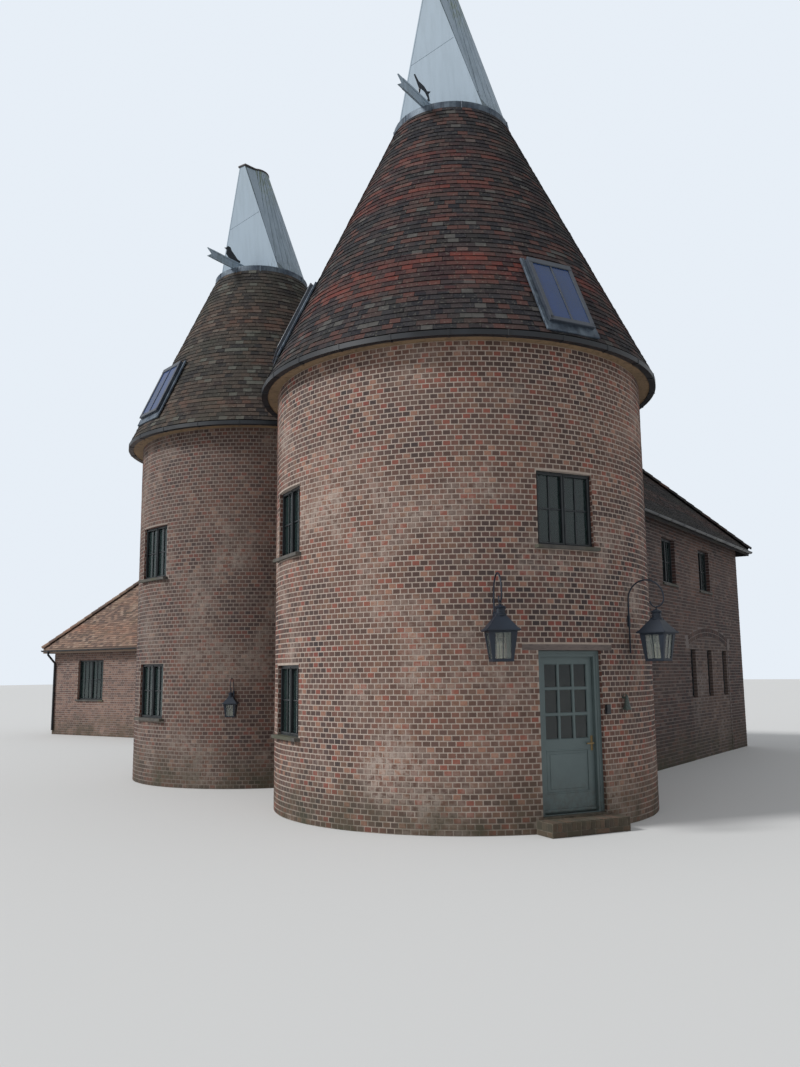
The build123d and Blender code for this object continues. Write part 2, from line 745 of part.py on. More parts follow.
def clear_of_kilns(piece):
    for kiln in KILNS:
        piece -= kiln_clearance(kiln)
    return piece


def barn_right_place(along):
    return Pos(BARN["x1"], along, 0) * Rot(0, 0, 90)


def barn_left_place(along):
    return Pos(BARN["x0"], along, 0) * Rot(0, 0, -90)


def back_place(plan, across):
    return Pos(across, plan["y1"], 0) * Rot(0, 0, 180)


def front_place(plan, across):
    return Pos(across, plan["y0"], 0)


def barn_windows():
    """Place, width, height and foot of the barn's casements."""
    for along in BARN_RIGHT_WINDOWS:
        yield barn_right_place(along), CASEMENT, CASEMENT_HEIGHT, BARN_UPPER_SILL
    for along in BARN_LEFT_WINDOWS:
        yield barn_left_place(along), CASEMENT, CASEMENT_HEIGHT, BARN_UPPER_SILL
    for across in BARN_BACK_WINDOWS:
        for foot in (BARN_LOWER_SILL, BARN_UPPER_SILL):
            yield back_place(BARN, across), CASEMENT, CASEMENT_HEIGHT, foot


def wing_windows():
    """Place, width, height and foot of the wing's casements."""
    for across in WING_WINDOWS:
        for place in (front_place(WING, across), back_place(WING, across)):
            yield place, WING_WINDOW_WIDTH, WING_WINDOW_HEIGHT, WING_SILL


def cut_windows(wall, windows):
    for place, width, height, foot in windows:
        wall -= place * casement_cut(width, height, foot)
    return wall


def arch_parts():
    """The filled arch facing -Y, centred at x = 0: its full cut, its ring, and the infill with the slots."""
    half = ARCH_SPAN / 2
    radius = (half**2 + ARCH_RISE**2) / (2 * ARCH_RISE)
    centre = ARCH_SPRING + ARCH_RISE - radius
    reach = 3 * ARCH_SPAN
    inner = Pos(0, 0, centre) * Rot(90, 0, 0) * Cylinder(radius, 2 * reach)
    outer = Pos(0, 0, centre) * Rot(90, 0, 0) * Cylinder(radius + ARCH_RING, 2 * reach)
    spread = half * FAN_SPREAD
    spring = (ARCH_SPRING - centre) * FAN_SPREAD
    fan = along_y(((0, centre), (-spread, centre + spring), (spread, centre + spring)), -reach, reach)
    crown = block(-reach, reach, -reach, reach, ARCH_SPRING - ARCH_RING, ABOVE)
    ring = ((outer - inner) & fan) & crown
    body = block(-half, half, -reach, reach, -1, ARCH_SPRING)
    body += inner & block(-half, half, -reach, reach, ARCH_SPRING, ARCH_SPRING + ARCH_RISE + 1)
    cut = (body + ring) & block(-reach, reach, -1, WALL + 1, -1, ABOVE)
    ring &= block(-reach, reach, 0, WALL, -1, ABOVE)
    infill = body & block(-reach, reach, ARCH_SETBACK, ARCH_SETBACK + INFILL, 0, ABOVE)
    for offset in (-SLOT_OFFSET, 0, SLOT_OFFSET):
        infill -= Pos(offset, 0, 0) * slot_cut()
    return cut, ring, infill


def slot_cut():
    half = SLOT_WIDTH / 2
    return block(-half, half, -WALL, 2 * WALL, SLOT_FOOT, SLOT_FOOT + SLOT_HEIGHT)


def slot_frame():
    half = SLOT_WIDTH / 2
    inner = half - MEMBER
    low, high = SLOT_FOOT, SLOT_FOOT + SLOT_HEIGHT
    frame = block(-half, half, SETBACK, SETBACK + FRAME_DEPTH, low, high)
    return frame - block(-inner, inner, SETBACK - 1, SETBACK + FRAME_DEPTH + 1, low + MEMBER, high - MEMBER)


def slot_glass():
    inner = SLOT_WIDTH / 2 - MEMBER
    face = SETBACK + (FRAME_DEPTH - GLASS) / 2
    return block(-inner, inner, face, face + GLASS, SLOT_FOOT + MEMBER, SLOT_FOOT + SLOT_HEIGHT - MEMBER)


def slot_places():
    return [barn_right_place(ARCH_CENTRE + offset) for offset in (-SLOT_OFFSET, 0, SLOT_OFFSET)]


def barn_walls():
    """Front, right, back and left walls, with their heads cut to the roof."""
    x0, x1, y0, y1 = BARN["x0"], BARN["x1"], BARN["y0"], BARN["y1"]
    inner_x0, inner_x1, inner_y0, inner_y1 = x0 + WALL, x1 - WALL, y0 + WALL, y1 - WALL
    roof = under_roof(BARN)
    arch_cut = arch_parts()[0]
    front = clear_of_kilns(block(x0, x1, y0, inner_y0, 0, ABOVE) & roof)
    right = block(inner_x1, x1, inner_y0, inner_y1, 0, ABOVE) & roof
    right -= barn_right_place(ARCH_CENTRE) * arch_cut
    back = block(x0, x1, inner_y1, y1, 0, ABOVE) & roof
    left = clear_of_kilns(block(x0, inner_x0, inner_y0, inner_y1, 0, ABOVE) & roof)
    windows = list(barn_windows())
    return front, cut_windows(right, windows), cut_windows(back, windows), cut_windows(left, windows)


def barn_floor(low, high):
    room = block(BARN["x0"] + WALL, BARN["x1"] - WALL, BARN["y0"] + WALL, BARN["y1"] - WALL, low, high)
    return clear_of_kilns(room)


def wing_walls():
    """Front, end and back walls of the wing."""
    x0, x1, y0, y1 = WING["x0"], WING["x1"], WING["y0"], WING["y1"]
    roof = under_roof(wing_plan())
    front = block(x0, x1, y0, y0 + WALL, 0, ABOVE) & roof
    end = block(x0, x0 + WALL, y0 + WALL, y1 - WALL, 0, ABOVE) & roof
    back = block(x0, x1, y1 - WALL, y1, 0, ABOVE) & roof
    windows = list(wing_windows())
    return cut_windows(front, windows), end, cut_windows(back, windows)


def wing_plan():
    """The wing's plan with its roof carried on over the barn, where the barn's roof cuts it."""
    plan = dict(WING)
    plan["x1"] = WING["x1"] + 2 * WING_ROOF_REACH
    return plan


def wing_roof():
    shell = roof_shell(wing_plan())
    shell &= block(WING["x0"] - 2 * OVERHANG, WING["x1"] + WING_ROOF_REACH, -ABOVE, ABOVE, BELOW, ABOVE)
    shell -= block(BARN["x0"], BARN["x1"], BARN["y0"], BARN["y1"] + 2 * OVERHANG, BELOW, BARN["eaves"])
    drop = roof_drop(BARN)
    return shell - roof_volume(BARN, BARN["eaves"], 0, BARN["eaves"] - drop)


def wing_floor():
    return block(WING["x0"] + WALL, WING["x1"], WING["y0"] + WALL, WING["y1"] - WALL, 0, FLOOR_TOP)


def gutter_bar(length):
    """A half-round gutter along +X, its top edge at z = 0 and its back at y = 0."""
    bar = Pos(0, -GUTTER_RADIUS, 0) * Rot(0, 90, 0) * Cylinder(
        GUTTER_RADIUS, length, align=(Align.CENTER, Align.CENTER, Align.MIN)
    )
    bar &= block(-1, length + 1, -3 * GUTTER_RADIUS, GUTTER_RADIUS, -2 * GUTTER_RADIUS, 0)
    bed_length = length - 2 * GUTTER_WALL
    bed = Pos(GUTTER_WALL, -GUTTER_RADIUS, 0) * Rot(0, 90, 0) * Cylinder(
        GUTTER_RADIUS - GUTTER_WALL, bed_length, align=(Align.CENTER, Align.CENTER, Align.MIN)
    )
    return bar - bed


def straight_gutters():
    """Gutters along the barn's right and back eaves and the wing's front and back eaves, and a downpipe."""
    barn_y0, barn_y1 = BARN["y0"] + OVERHANG, BARN["y1"] + OVERHANG
    level = BARN["eaves"] - GUTTER_DROP
    right = Pos(BARN["x1"] + OVERHANG, barn_y0, level) * Rot(0, 0, 90) * gutter_bar(barn_y1 - barn_y0)
    left_end, right_end = BARN["x0"] - OVERHANG, BARN["x1"] + OVERHANG
    back = Pos(right_end, barn_y1, level) * Rot(0, 0, 180) * gutter_bar(right_end - left_end)
    wing_level = WING["eaves"] - GUTTER_DROP
    start, end = WING["x0"] - OVERHANG, BARN["x0"] - OVERHANG
    front = Pos(start, WING["y0"] - OVERHANG, wing_level) * gutter_bar(end - start)
    rear = Pos(end, WING["y1"] + OVERHANG, wing_level) * Rot(0, 0, 180) * gutter_bar(end - start)
    return solids(right, back, front, rear)


def downpipe():
    """The wing's downpipe: a swan neck back to the wall, then straight down."""
    wing_level = WING["eaves"] - GUTTER_DROP - GUTTER_RADIUS
    x = WING["x0"] + 2 * PIPE_RADIUS
    near = WING["y0"] - PIPE_GAP - PIPE_RADIUS
    far = WING["y0"] - OVERHANG - GUTTER_RADIUS
    drop = near - far
    route = FilletPolyline(
        (x, far, wing_level), (x, far, wing_level - PIPE_DROP), (x, near, wing_level - PIPE_DROP - drop),
        (x, near, PIPE_FOOT),
        radius=PIPE_RADIUS,
    )
    section = Plane(origin=(x, far, wing_level), z_dir=(0, 0, -1)) * Circle(PIPE_RADIUS)
    pipe = sweep(section, path=route)
    half = PIPE_RADIUS / 2
    clip = block(x - half, x + half, near, WING["y0"], PIPE_CLIP_HEIGHT, PIPE_CLIP_HEIGHT + PIPE_RADIUS)
    return pipe + clip


# Cowls, built facing -Y with the foot at z = 0


def cowl_cone(inset):
    """The oblique cone of boards, set in from the outside."""
    low = Circle(COWL_BASE - inset)
    high = Pos(0, -COWL_TOP_FORWARD, COWL_HEIGHT) * Circle(COWL_TOP - inset)
    return loft([low.faces()[0], high.faces()[0]], ruled=True)


def behind_panel(inset):
    """The space behind the front panel's face, moved in by an inset, and under the lid."""
    lean = (PANEL_HEAD - PANEL_FOOT) / COWL_HEIGHT
    back = 2 * COWL_BASE
    front_high = -PANEL_FOOT - 2 * COWL_HEIGHT * lean + inset
    high = 2 * COWL_HEIGHT
    profile = ((inset - PANEL_FOOT, 0), (front_high, high), (back, high), (back, 0))
    under = ((-back, lid_level(-back)), (back, lid_level(back)), (back, BELOW), (-back, BELOW))
    return along_x(profile, -back, back) & along_x(under, -back, back)


def lid_level(y):
    """Height of the lid's underside over the cowl's foot."""
    return COWL_HEIGHT - (y + PANEL_HEAD) * math.tan(math.radians(LID_SLOPE))


def cowl_cheeks(inset):
    """The wedge that two flat cheeks make between the cone and the front panel."""
    foot = PANEL_FOOT - inset
    foot_half = math.sqrt((COWL_BASE - inset) ** 2 - foot**2)
    back_half, back = CHEEK_HEAD
    sides = []
    for way in (-1, 1):
        corners = (
            (way * foot_half, -foot, 0),
            (way * (PANEL_HEAD_WIDTH / 2 - inset), inset - PANEL_HEAD, COWL_HEIGHT),
            (way * (back_half - inset), -back, COWL_HEIGHT),
        )
        sides.append(Face(Wire.make_polygon(corners)))
    return loft(sides, ruled=True)


def cowl_form(inset):
    """The whole cowl as one solid, set in from the outside."""
    return (cowl_cone(inset) + cowl_cheeks(inset)) & behind_panel(inset)


def cowl_shell():
    return (cowl_form(0) & behind_panel(COWL_BOARD)) - cowl_form(COWL_BOARD)


def cowl_panel():
    return cowl_form(0) - behind_panel(COWL_BOARD)


def lid_slab():
    """The sloping slab that the lid is cut from."""
    front, back = -PANEL_HEAD - LID_NOSE, COWL_BASE
    low, high = lid_level(back), lid_level(front)
    side = ((front, high), (back, low), (back, low + LID), (front, high + LID))
    return along_x(side, -COWL_BASE, COWL_BASE)


def cowl_lid():
    """A lid that follows the round top and the cheeks out to the panel's narrow head."""
    back_half, back = CHEEK_HEAD[0] + LID_NOSE, CHEEK_HEAD[1]
    front_half, front = PANEL_HEAD_WIDTH / 2 + LID_NOSE, PANEL_HEAD + LID_NOSE
    nose = ((-back_half, -back), (-front_half, -front), (front_half, -front), (back_half, -back))
    outline = Pos(0, -COWL_TOP_FORWARD, 0) * tube(COWL_TOP + LID_NOSE, 0, 2 * COWL_HEIGHT)
    outline += extrude(Polygon(*nose, align=None), amount=2 * COWL_HEIGHT, dir=(0, 0, 1))
    return outline & lid_slab()


def cowl_post(kiln):
    """The turning post with its collar on the beam, and the arms that carry the boards."""
    foot = beam_top(kiln) - BEAM_DEPTH - cowl_level(kiln)
    post = tube(POST_RADIUS, foot, POST_HEAD)
    collar_foot = beam_top(kiln) + POST_CLEARANCE - cowl_level(kiln)
    post += tube(POST_COLLAR, collar_foot, collar_foot + POST_COLLAR_HEIGHT)
    room = cowl_form(COWL_BOARD)
    reach = 2 * COWL_BASE
    half = ARM_WIDTH / 2
    for level in (ARM_RISE, POST_HEAD - ARM_DEPTH):
        arms = block(-reach, reach, -half, half, level, level + ARM_DEPTH)
        arms += block(-half, half, -reach, reach, level, level + ARM_DEPTH)
        post += arms & room
    return post


def figure_outline(points):
    """A vane figure from its outline."""
    return Polygon(*[(length * FIGURE_SIZE, height * FIGURE_SIZE) for length, height in points], align=None)


def vane_place():
    """Plane of the vane: x outward along -Y, y up."""
    return Plane(origin=(VANE_BOARD / 2, 0, VANE_RISE), x_dir=(0, -1, 0), z_dir=(-1, 0, 0))


def cowl_vane(figure):
    """The vane board with its forked end, and a small figure on its top edge."""
    root = PANEL_FOOT
    board = Polygon(
        (0, 0), (VANE_LENGTH + root, 0), (VANE_LENGTH + root - VANE_NOTCH, VANE_HEIGHT / 2),
        (VANE_LENGTH + root, VANE_HEIGHT), (0, VANE_HEIGHT), align=None,
    )
    vane = extrude(vane_place() * board, amount=VANE_BOARD)
    vane -= behind_panel(0)
    spot = Pos(FIGURE_PLACE, VANE_HEIGHT - FIGURE_PLATE, (VANE_BOARD - FIGURE_PLATE) / 2)
    return vane + extrude(vane_place() * spot * figure, amount=FIGURE_PLATE)


def cowl_level(kiln):
    return kiln["curb"] + CURB_DEPTH + COWL_GAP


def cowl(kiln, heading, figure):
    """All pieces of one cowl, turned to its heading and set over its kiln."""
    pieces = {
        "shell": cowl_shell(),
        "panel": cowl_panel(),
        "lid": cowl_lid(),
        "post": cowl_post(kiln),
        "vane": cowl_vane(figure),
    }
    lift = Pos(0, 0, cowl_level(kiln))
    return {name: at_kiln(kiln, lift * piece, heading) for name, piece in pieces.items()}


def build():
    """Every node of the building, by name."""
    nodes = {}
    nodes["ground_floors"] = solids(
        kiln_disc(MAIN, 0, FLOOR_TOP), kiln_disc(LEFT, 0, FLOOR_TOP), barn_floor(0, FLOOR_TOP), wing_floor()
    )
    upper_low = UPPER_FLOOR - UPPER_FLOOR_DEPTH
    nodes["upper_floors"] = solids(
        kiln_disc(MAIN, upper_low, UPPER_FLOOR), kiln_disc(LEFT, upper_low, UPPER_FLOOR),
        barn_floor(upper_low, UPPER_FLOOR),
    )
    for name, span in MAIN_SEGMENTS.items():
        nodes["main_kiln_wall_" + name] = kiln_wall(MAIN, MAIN_WINDOWS[:-1], *span)
    nodes["main_kiln_door_piers"] = door_piers()
    nodes["main_kiln_wall_over_door"] = wall_over_door()
    nodes["main_kiln_roof"] = kiln_roof(MAIN, MAIN_SKYLIGHTS)
    for name, span in LEFT_SEGMENTS.items():
        nodes["left_kiln_wall_" + name] = kiln_wall(LEFT, LEFT_WINDOWS, *span)
    nodes["left_kiln_roof"] = kiln_roof(LEFT, LEFT_SKYLIGHTS)
    for name, maker in (("kiln_eaves", eaves_ring), ("kiln_gutters", ring_gutter), ("kiln_curbs", curb),
                        ("kiln_cross_beams", cross_beam)):
        nodes[name] = solids(*[maker(kiln) for kiln in KILNS])
    on_kilns = [(place, CASEMENT, CASEMENT_HEIGHT, foot) for place, foot in kiln_windows()]
    on_walls = list(barn_windows()) + list(wing_windows())
    frames = [place * casement_frame(w, h, foot) for place, w, h, foot in on_kilns + on_walls]
    panes = [place * casement_glass(w, h, foot) for place, w, h, foot in on_kilns + on_walls]
    nodes["window_frames"] = solids(*frames, *[place * slot_frame() for place in slot_places()])
    nodes["window_glass"] = solids(*panes, *[place * slot_glass() for place in slot_places()])
    nodes["kiln_window_sills"] = solids(*[place * casement_sill(w, foot) for place, w, h, foot in on_kilns])
    nodes["wall_window_sills"] = solids(*[place * casement_sill(w, foot) for place, w, h, foot in on_walls])
    nodes["skylight_frames"] = solids(*[place * skylight_frame() for place in skylight_places()])
    nodes["skylight_glass"] = solids(*[place * skylight_glass() for place in skylight_places()])
    nodes["door_frame"] = door_frame()
    nodes["door_leaf"] = door_leaf()
    nodes["door_hinge_pins"], nodes["door_hinge_plates"] = door_hinges()
    nodes["door_glass"] = door_glass()
    nodes["door_handle"] = door_handle()
    nodes["door_lintel"] = door_lintel()
    nodes["door_step"] = door_step()
    nodes["lantern_brackets"], nodes["lantern_frames"], nodes["lantern_glass"] = wall_lights()
    nodes["door_fittings"] = door_fittings()
    walls = barn_walls()
    for name, wall in zip(("front", "right", "back", "left"), walls):
        nodes["barn_wall_" + name] = wall
    place = barn_right_place(ARCH_CENTRE)
    ring, infill = arch_parts()[1:]
    nodes["barn_arch"] = place * ring
    nodes["barn_arch_infill"] = place * infill
    nodes["barn_roof"] = clear_of_kilns(roof_shell(BARN))
    for name, wall in zip(("front", "end", "back"), wing_walls()):
        nodes["wing_wall_" + name] = wall
    nodes["wing_roof"] = wing_roof()
    nodes["gutters"] = straight_gutters()
    nodes["wing_downpipe"] = downpipe()
    for kiln, heading, outline, name in (
        (MAIN, MAIN_HEADING, RUNNER, "main_cowl_"), (LEFT, LEFT_HEADING, BIRD, "left_cowl_")
    ):
        for piece, shape in cowl(kiln, heading, figure_outline(outline)).items():
            nodes[name + piece] = shape
    return nodes


os.makedirs("parts", exist_ok=True)
for name, shape in build().items():
    export_step(solids(shape), "parts/" + name + ".step")
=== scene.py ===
import math
import random

import bpy
import numpy as np
from mathutils import Matrix, Vector


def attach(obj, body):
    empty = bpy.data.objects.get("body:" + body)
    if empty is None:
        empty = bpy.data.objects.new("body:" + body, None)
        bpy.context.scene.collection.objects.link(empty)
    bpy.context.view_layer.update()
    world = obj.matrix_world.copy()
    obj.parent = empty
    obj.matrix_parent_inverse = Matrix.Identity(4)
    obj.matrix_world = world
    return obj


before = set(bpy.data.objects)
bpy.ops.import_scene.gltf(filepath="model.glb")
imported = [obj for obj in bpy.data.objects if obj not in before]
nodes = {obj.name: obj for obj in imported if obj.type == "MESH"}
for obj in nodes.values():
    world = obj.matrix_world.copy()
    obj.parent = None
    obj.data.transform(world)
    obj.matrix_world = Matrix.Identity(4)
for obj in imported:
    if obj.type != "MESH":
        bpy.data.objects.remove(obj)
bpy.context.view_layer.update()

# The camera stands in front of the main kiln, at eye height, and looks up at the roofs.
CAMERA_PLACE = (7.803, -13.392, 2.1)
CAMERA_TURN = (98.57, -0.54, 33.9)
camera_data = bpy.data.cameras.new("camera")
camera = bpy.data.objects.new("camera", camera_data)
bpy.context.collection.objects.link(camera)
tilt, roll, heading = (math.radians(angle) for angle in CAMERA_TURN)
camera_turn = Matrix.Rotation(heading, 4, "Z") @ Matrix.Rotation(tilt, 4, "X") @ Matrix.Rotation(roll, 4, "Z")
camera.matrix_world = Matrix.Translation(CAMERA_PLACE) @ camera_turn
camera_data.sensor_fit = "VERTICAL"
camera_data.sensor_height = 36.0
camera_data.lens = 36.0 * 925 / 1067
camera_data.clip_end = 400
bpy.context.scene.camera = camera
bpy.context.scene.view_settings.view_transform = "Standard"

# A pale studio floor under an even, soft light: one wide lamp from the left and a pale surround.
SUN_STRENGTH = 2.5
SUN_TURN = (52, 0, -38)
SKY_STRENGTH = 0.58
bpy.ops.mesh.primitive_plane_add(size=400, location=(0, 0, -0.002))
floor = bpy.context.object
floor.name = "studio_floor"
floor_paint = bpy.data.materials.new("studio_floor")
floor_paint.use_nodes = True
floor_shader = floor_paint.node_tree.nodes["Principled BSDF"]
floor_shader.inputs["Base Color"].default_value = (0.62, 0.62, 0.61, 1)
floor_shader.inputs["Roughness"].default_value = 0.9
floor.data.materials.append(floor_paint)
sun_data = bpy.data.lights.new("sun", "SUN")
sun_data.energy = SUN_STRENGTH
sun_data.angle = math.radians(12)
sun = bpy.data.objects.new("sun", sun_data)
sun.rotation_euler = [math.radians(angle) for angle in SUN_TURN]
bpy.context.collection.objects.link(sun)


def put(tree, kind, settings=(), **inputs):
    """Adds a shader node. Each input named here takes a value, or another node's output."""
    node = tree.nodes.new("ShaderNode" + kind)
    for key, value in dict(settings).items():
        setattr(node, key, value)
    for key, value in inputs.items():
        place = int(key[2:]) if key.startswith("in") and key[2:].isdigit() else key.replace("_", " ")
        if isinstance(value, bpy.types.NodeSocket):
            tree.links.new(value, node.inputs[place])
        else:
            node.inputs[place].default_value = value
    return node


world = bpy.data.worlds.new("studio")
bpy.context.scene.world = world
world.use_nodes = True
world.node_tree.nodes.clear()
ray = put(world.node_tree, "LightPath")
seen = put(world.node_tree, "Math", {"operation": "MAXIMUM"}, in0=ray.outputs["Is Camera Ray"], in1=ray.outputs["Is Transmission Ray"])
glow = put(world.node_tree, "Background", Color=(0.93, 0.96, 1.0, 1), Strength=SKY_STRENGTH)
backdrop = put(world.node_tree, "Background", Color=(0.80, 0.86, 0.93, 1), Strength=1.0)
chosen = put(world.node_tree, "MixShader", Fac=seen.outputs[0], in1=glow.outputs[0], in2=backdrop.outputs[0])
put(world.node_tree, "OutputWorld", Surface=chosen.outputs[0])

# Kiln brickwork: round walls of burnt clay headers, laid end-on so that flat bricks follow the curve.
# Each course is bedded in pale lime mortar, and the wall core behind is the mortar that shows in the joints.
KILNS = {
    "main": {"x": 0.0, "y": 0.0, "radius": 3.05, "wall": 6.7, "foot": 3.3, "eaves": 6.78, "curb": 11.58},
    "left": {"x": -6.03, "y": 1.6, "radius": 2.5, "wall": 6.9, "foot": 2.78, "eaves": 6.98, "curb": 10.83},
}
KILN_WINDOWS = {
    "main": ((-30, 1.18), (-30, 3.9), (60, 3.82)),
    "left": ((-14, 1.27), (-14, 4.02), (-104, 1.27), (-104, 4.02)),
}
WALL = 0.33
CASEMENT = 0.95
CASEMENT_HEIGHT = 1.05
SILL_EAR = 0.05
SILL_DEPTH = 0.05
DOOR_ANGLE = 60
DOOR_WIDTH = 1.05
DOOR_HEAD = 2.385
LINTEL_WIDTH = 1.5
LINTEL_DEPTH = 0.08
STEP_WIDTH = 1.25
STEP_TOP = 0.18
GAUGE = 0.075
JOINT = 0.017
HEADER = 0.1125
BRICK_PROUD = 0.0045
BRICK_CHAMFER = 0.003
BARN = {"x0": -7.0, "x1": 1.083, "y0": 2.95, "y1": 13.85, "eaves": 5.5, "pitch": 44}
WING = {"x0": -22.2, "x1": -7.0, "y0": 8.2, "y1": 13.85, "eaves": 3.1, "pitch": 46}
OVERHANG = 0.3


def mesh_piece(name, points, faces):
    """A new piece from points and faces, riding on the house."""
    mesh = bpy.data.meshes.new(name)
    mesh.from_pydata(points, [], faces)
    mesh.validate()
    piece = bpy.data.objects.new(name, mesh)
    bpy.context.collection.objects.link(piece)
    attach(piece, "house")
    return piece


def cut_out(bricks, hole):
    """Bricks (left, right, foot, head) with a rectangular hole cut out of them."""
    left, right, foot, head = hole
    kept = []
    for u0, u1, z0, z1 in bricks:
        if u1 <= left or u0 >= right or z1 <= foot or z0 >= head:
            kept.append((u0, u1, z0, z1))
            continue
        parts = ((u0, min(u1, left), z0, z1), (max(u0, right), u1, z0, z1))
        middle = max(u0, left), min(u1, right)
        parts += ((*middle, z0, min(z1, foot)), (*middle, max(z0, head), z1))
        kept += [part for part in parts if part[1] - part[0] > 2 * JOINT and part[3] - part[2] > 1.5 * JOINT]
    return kept


def courses(length, height, widths, closed=False):
    """Brick faces over an unrolled wall, course by course, each second course shifted by half a bond."""
    period = sum(widths)
    if closed:
        widths = [width * length / period / round(length / period) for width in widths]
        period = sum(widths)
    rows = round(height / GAUGE)
    gauge = height / rows
    bricks = []
    for row in range(rows):
        edge = -period / 2 if row % 2 else 0.0
        if len(widths) > 1 and row % 2:
            edge = -(widths[0] + widths[1]) / 2 - (widths[0] - widths[1]) / 4 + widths[1] / 4
        place = 0
        while edge < length - 0.001:
            width = widths[place % len(widths)]
            start = max(edge + JOINT / 2, -1.0 if closed else 0.0)
            end = edge + width - JOINT / 2 if closed else min(edge + width - JOINT / 2, length)
            if end - start > 2 * JOINT and (not closed or edge + width < length + 0.001):
                bricks.append((start, end, row * gauge + JOINT / 2, (row + 1) * gauge - JOINT / 2))
            edge += width
            place += 1
    return bricks


def brick_skin(name, bricks, where, seed):
    """All bricks of a wall as one mesh of small blocks with soft arrises, where each face stands a little in or out."""
    face = np.array(bricks)
    chance = np.random.default_rng(seed)
    proud = BRICK_PROUD * (0.55 + 0.45 * chance.random(len(face)))
    tip = chance.normal(0, 0.0006, (len(face), 4))
    side = np.array([[0, 2], [1, 2], [1, 3], [0, 3]])
    out = np.array([[-1, -1], [1, -1], [1, 1], [-1, 1]])
    corner = face[:, side]
    back = corner + out * BRICK_CHAMFER / 2
    front = corner - out * BRICK_CHAMFER / 2
    u = np.concatenate([back[..., 0], front[..., 0]], axis=1)
    z = np.concatenate([back[..., 1], front[..., 1]], axis=1)
    depth = np.concatenate([np.full((len(face), 4), -0.002), proud[:, None] + tip], axis=1)
    points = where(u, z, depth).reshape(-1, 3)
    block = np.array([[4, 5, 6, 7], [0, 1, 5, 4], [1, 2, 6, 5], [2, 3, 7, 6], [3, 0, 4, 7]])
    faces = (block[None] + 8 * np.arange(len(face))[:, None, None]).reshape(-1, 4)
    return mesh_piece(name, points, faces)


def barn_roof_level(x, y):
    """Height of the barn roof's surface over a point of its plan."""
    inset = min(x - BARN["x0"], BARN["x1"] - x, y - BARN["y0"], BARN["y1"] - y) + OVERHANG
    return BARN["eaves"] + inset * math.tan(math.radians(BARN["pitch"]))


def in_barn(x, y, z):
    inside = BARN["x0"] < x < BARN["x1"] and y > BARN["y0"]
    return inside and z < barn_roof_level(x, y) - 0.1


kiln_skins = {}
for name, kiln in KILNS.items():
    radius = kiln["radius"]
    around = 2 * math.pi * radius
    bricks = courses(around, kiln["wall"], [HEADER], closed=True)
    holes = []
    for angle, foot in KILN_WINDOWS[name]:
        middle = math.radians(angle) % (2 * math.pi) * radius
        half = radius * math.asin(CASEMENT / 2 / radius)
        holes.append((middle - half, middle + half, foot, foot + CASEMENT_HEIGHT))
        holes.append((middle - half - SILL_EAR, middle + half + SILL_EAR, foot - SILL_DEPTH, foot))
    if name == "main":
        middle = math.radians(DOOR_ANGLE) * radius
        for width, low, high in ((DOOR_WIDTH, 0, DOOR_HEAD), (LINTEL_WIDTH, DOOR_HEAD, DOOR_HEAD + LINTEL_DEPTH), (STEP_WIDTH, 0, STEP_TOP)):
            half = radius * math.asin(width / 2 / radius)
            holes.append((middle - half, middle + half, low, high))
    for hole in holes:
        bricks = cut_out(bricks, hole)
    seen_bricks = []
    for brick in bricks:
        angle = (brick[0] + brick[1]) / 2 / radius
        x, y = kiln["x"] + radius * math.sin(angle), kiln["y"] - radius * math.cos(angle)
        if not in_barn(x, y, brick[2]):
            seen_bricks.append(brick)

    def on_kiln(u, z, depth, kiln=kiln):
        angle = u / kiln["radius"]
        out = kiln["radius"] + depth
        return np.stack([kiln["x"] + out * np.sin(angle), kiln["y"] - out * np.cos(angle), z], axis=-1)

    kiln_skins[name] = brick_skin(name + "_kiln_bricks", seen_bricks, on_kiln, len(name))


def rgb(red, green, blue):
    """A paint colour, given in the everyday 0 to 255 scale."""
    parts = [part / 255 for part in (red, green, blue)]
    return [part / 12.92 if part < 0.04045 else ((part + 0.055) / 1.055) ** 2.4 for part in parts] + [1]


def ramp(tree, factor, stops, mode="LINEAR"):
    """A colour ramp with the stops (place, colour) given."""
    node = put(tree, "ValToRGB", Fac=factor)
    node.color_ramp.interpolation = mode
    bar = node.color_ramp.elements
    while len(bar) < len(stops):
        bar.new(0.5)
    for element, (place, colour) in zip(bar, stops):
        element.position = place
        element.color = colour
    return node.outputs["Color"]


def blend(tree, factor, below, above, mode="MIX"):
    """Two colours mixed by a factor."""
    node = put(tree, "Mix", {"data_type": "RGBA", "blend_type": mode}, in0=factor, in6=below, in7=above)
    return node.outputs[2]


def shade(name, **values):
    """A new material: its node tree, its shader and its place in space."""
    material = bpy.data.materials.new(name)
    material.use_nodes = True
    tree = material.node_tree
    shader = tree.nodes["Principled BSDF"]
    for key, value in values.items():
        shader.inputs[key.replace("_", " ")].default_value = value
    return material, tree, shader, put(tree, "TexCoord").outputs["Object"]


def wear(piece_or_node, material):
    """Gives a piece one material all over."""
    piece_or_node.data.materials.clear()
    piece_or_node.data.materials.append(material)


def new_effect(name, inputs, outputs):
    """An empty node group with named sockets (name, kind, value)."""
    group = bpy.data.node_groups.new(name, "ShaderNodeTree")
    for label, kind, value in inputs:
        socket = group.interface.new_socket(label, in_out="INPUT", socket_type="NodeSocket" + kind)
        if value is not None:
            socket.default_value = value
    for label, kind in outputs:
        group.interface.new_socket(label, in_out="OUTPUT", socket_type="NodeSocket" + kind)
    return group, group.nodes.new("NodeGroupInput"), group.nodes.new("NodeGroupOutput")


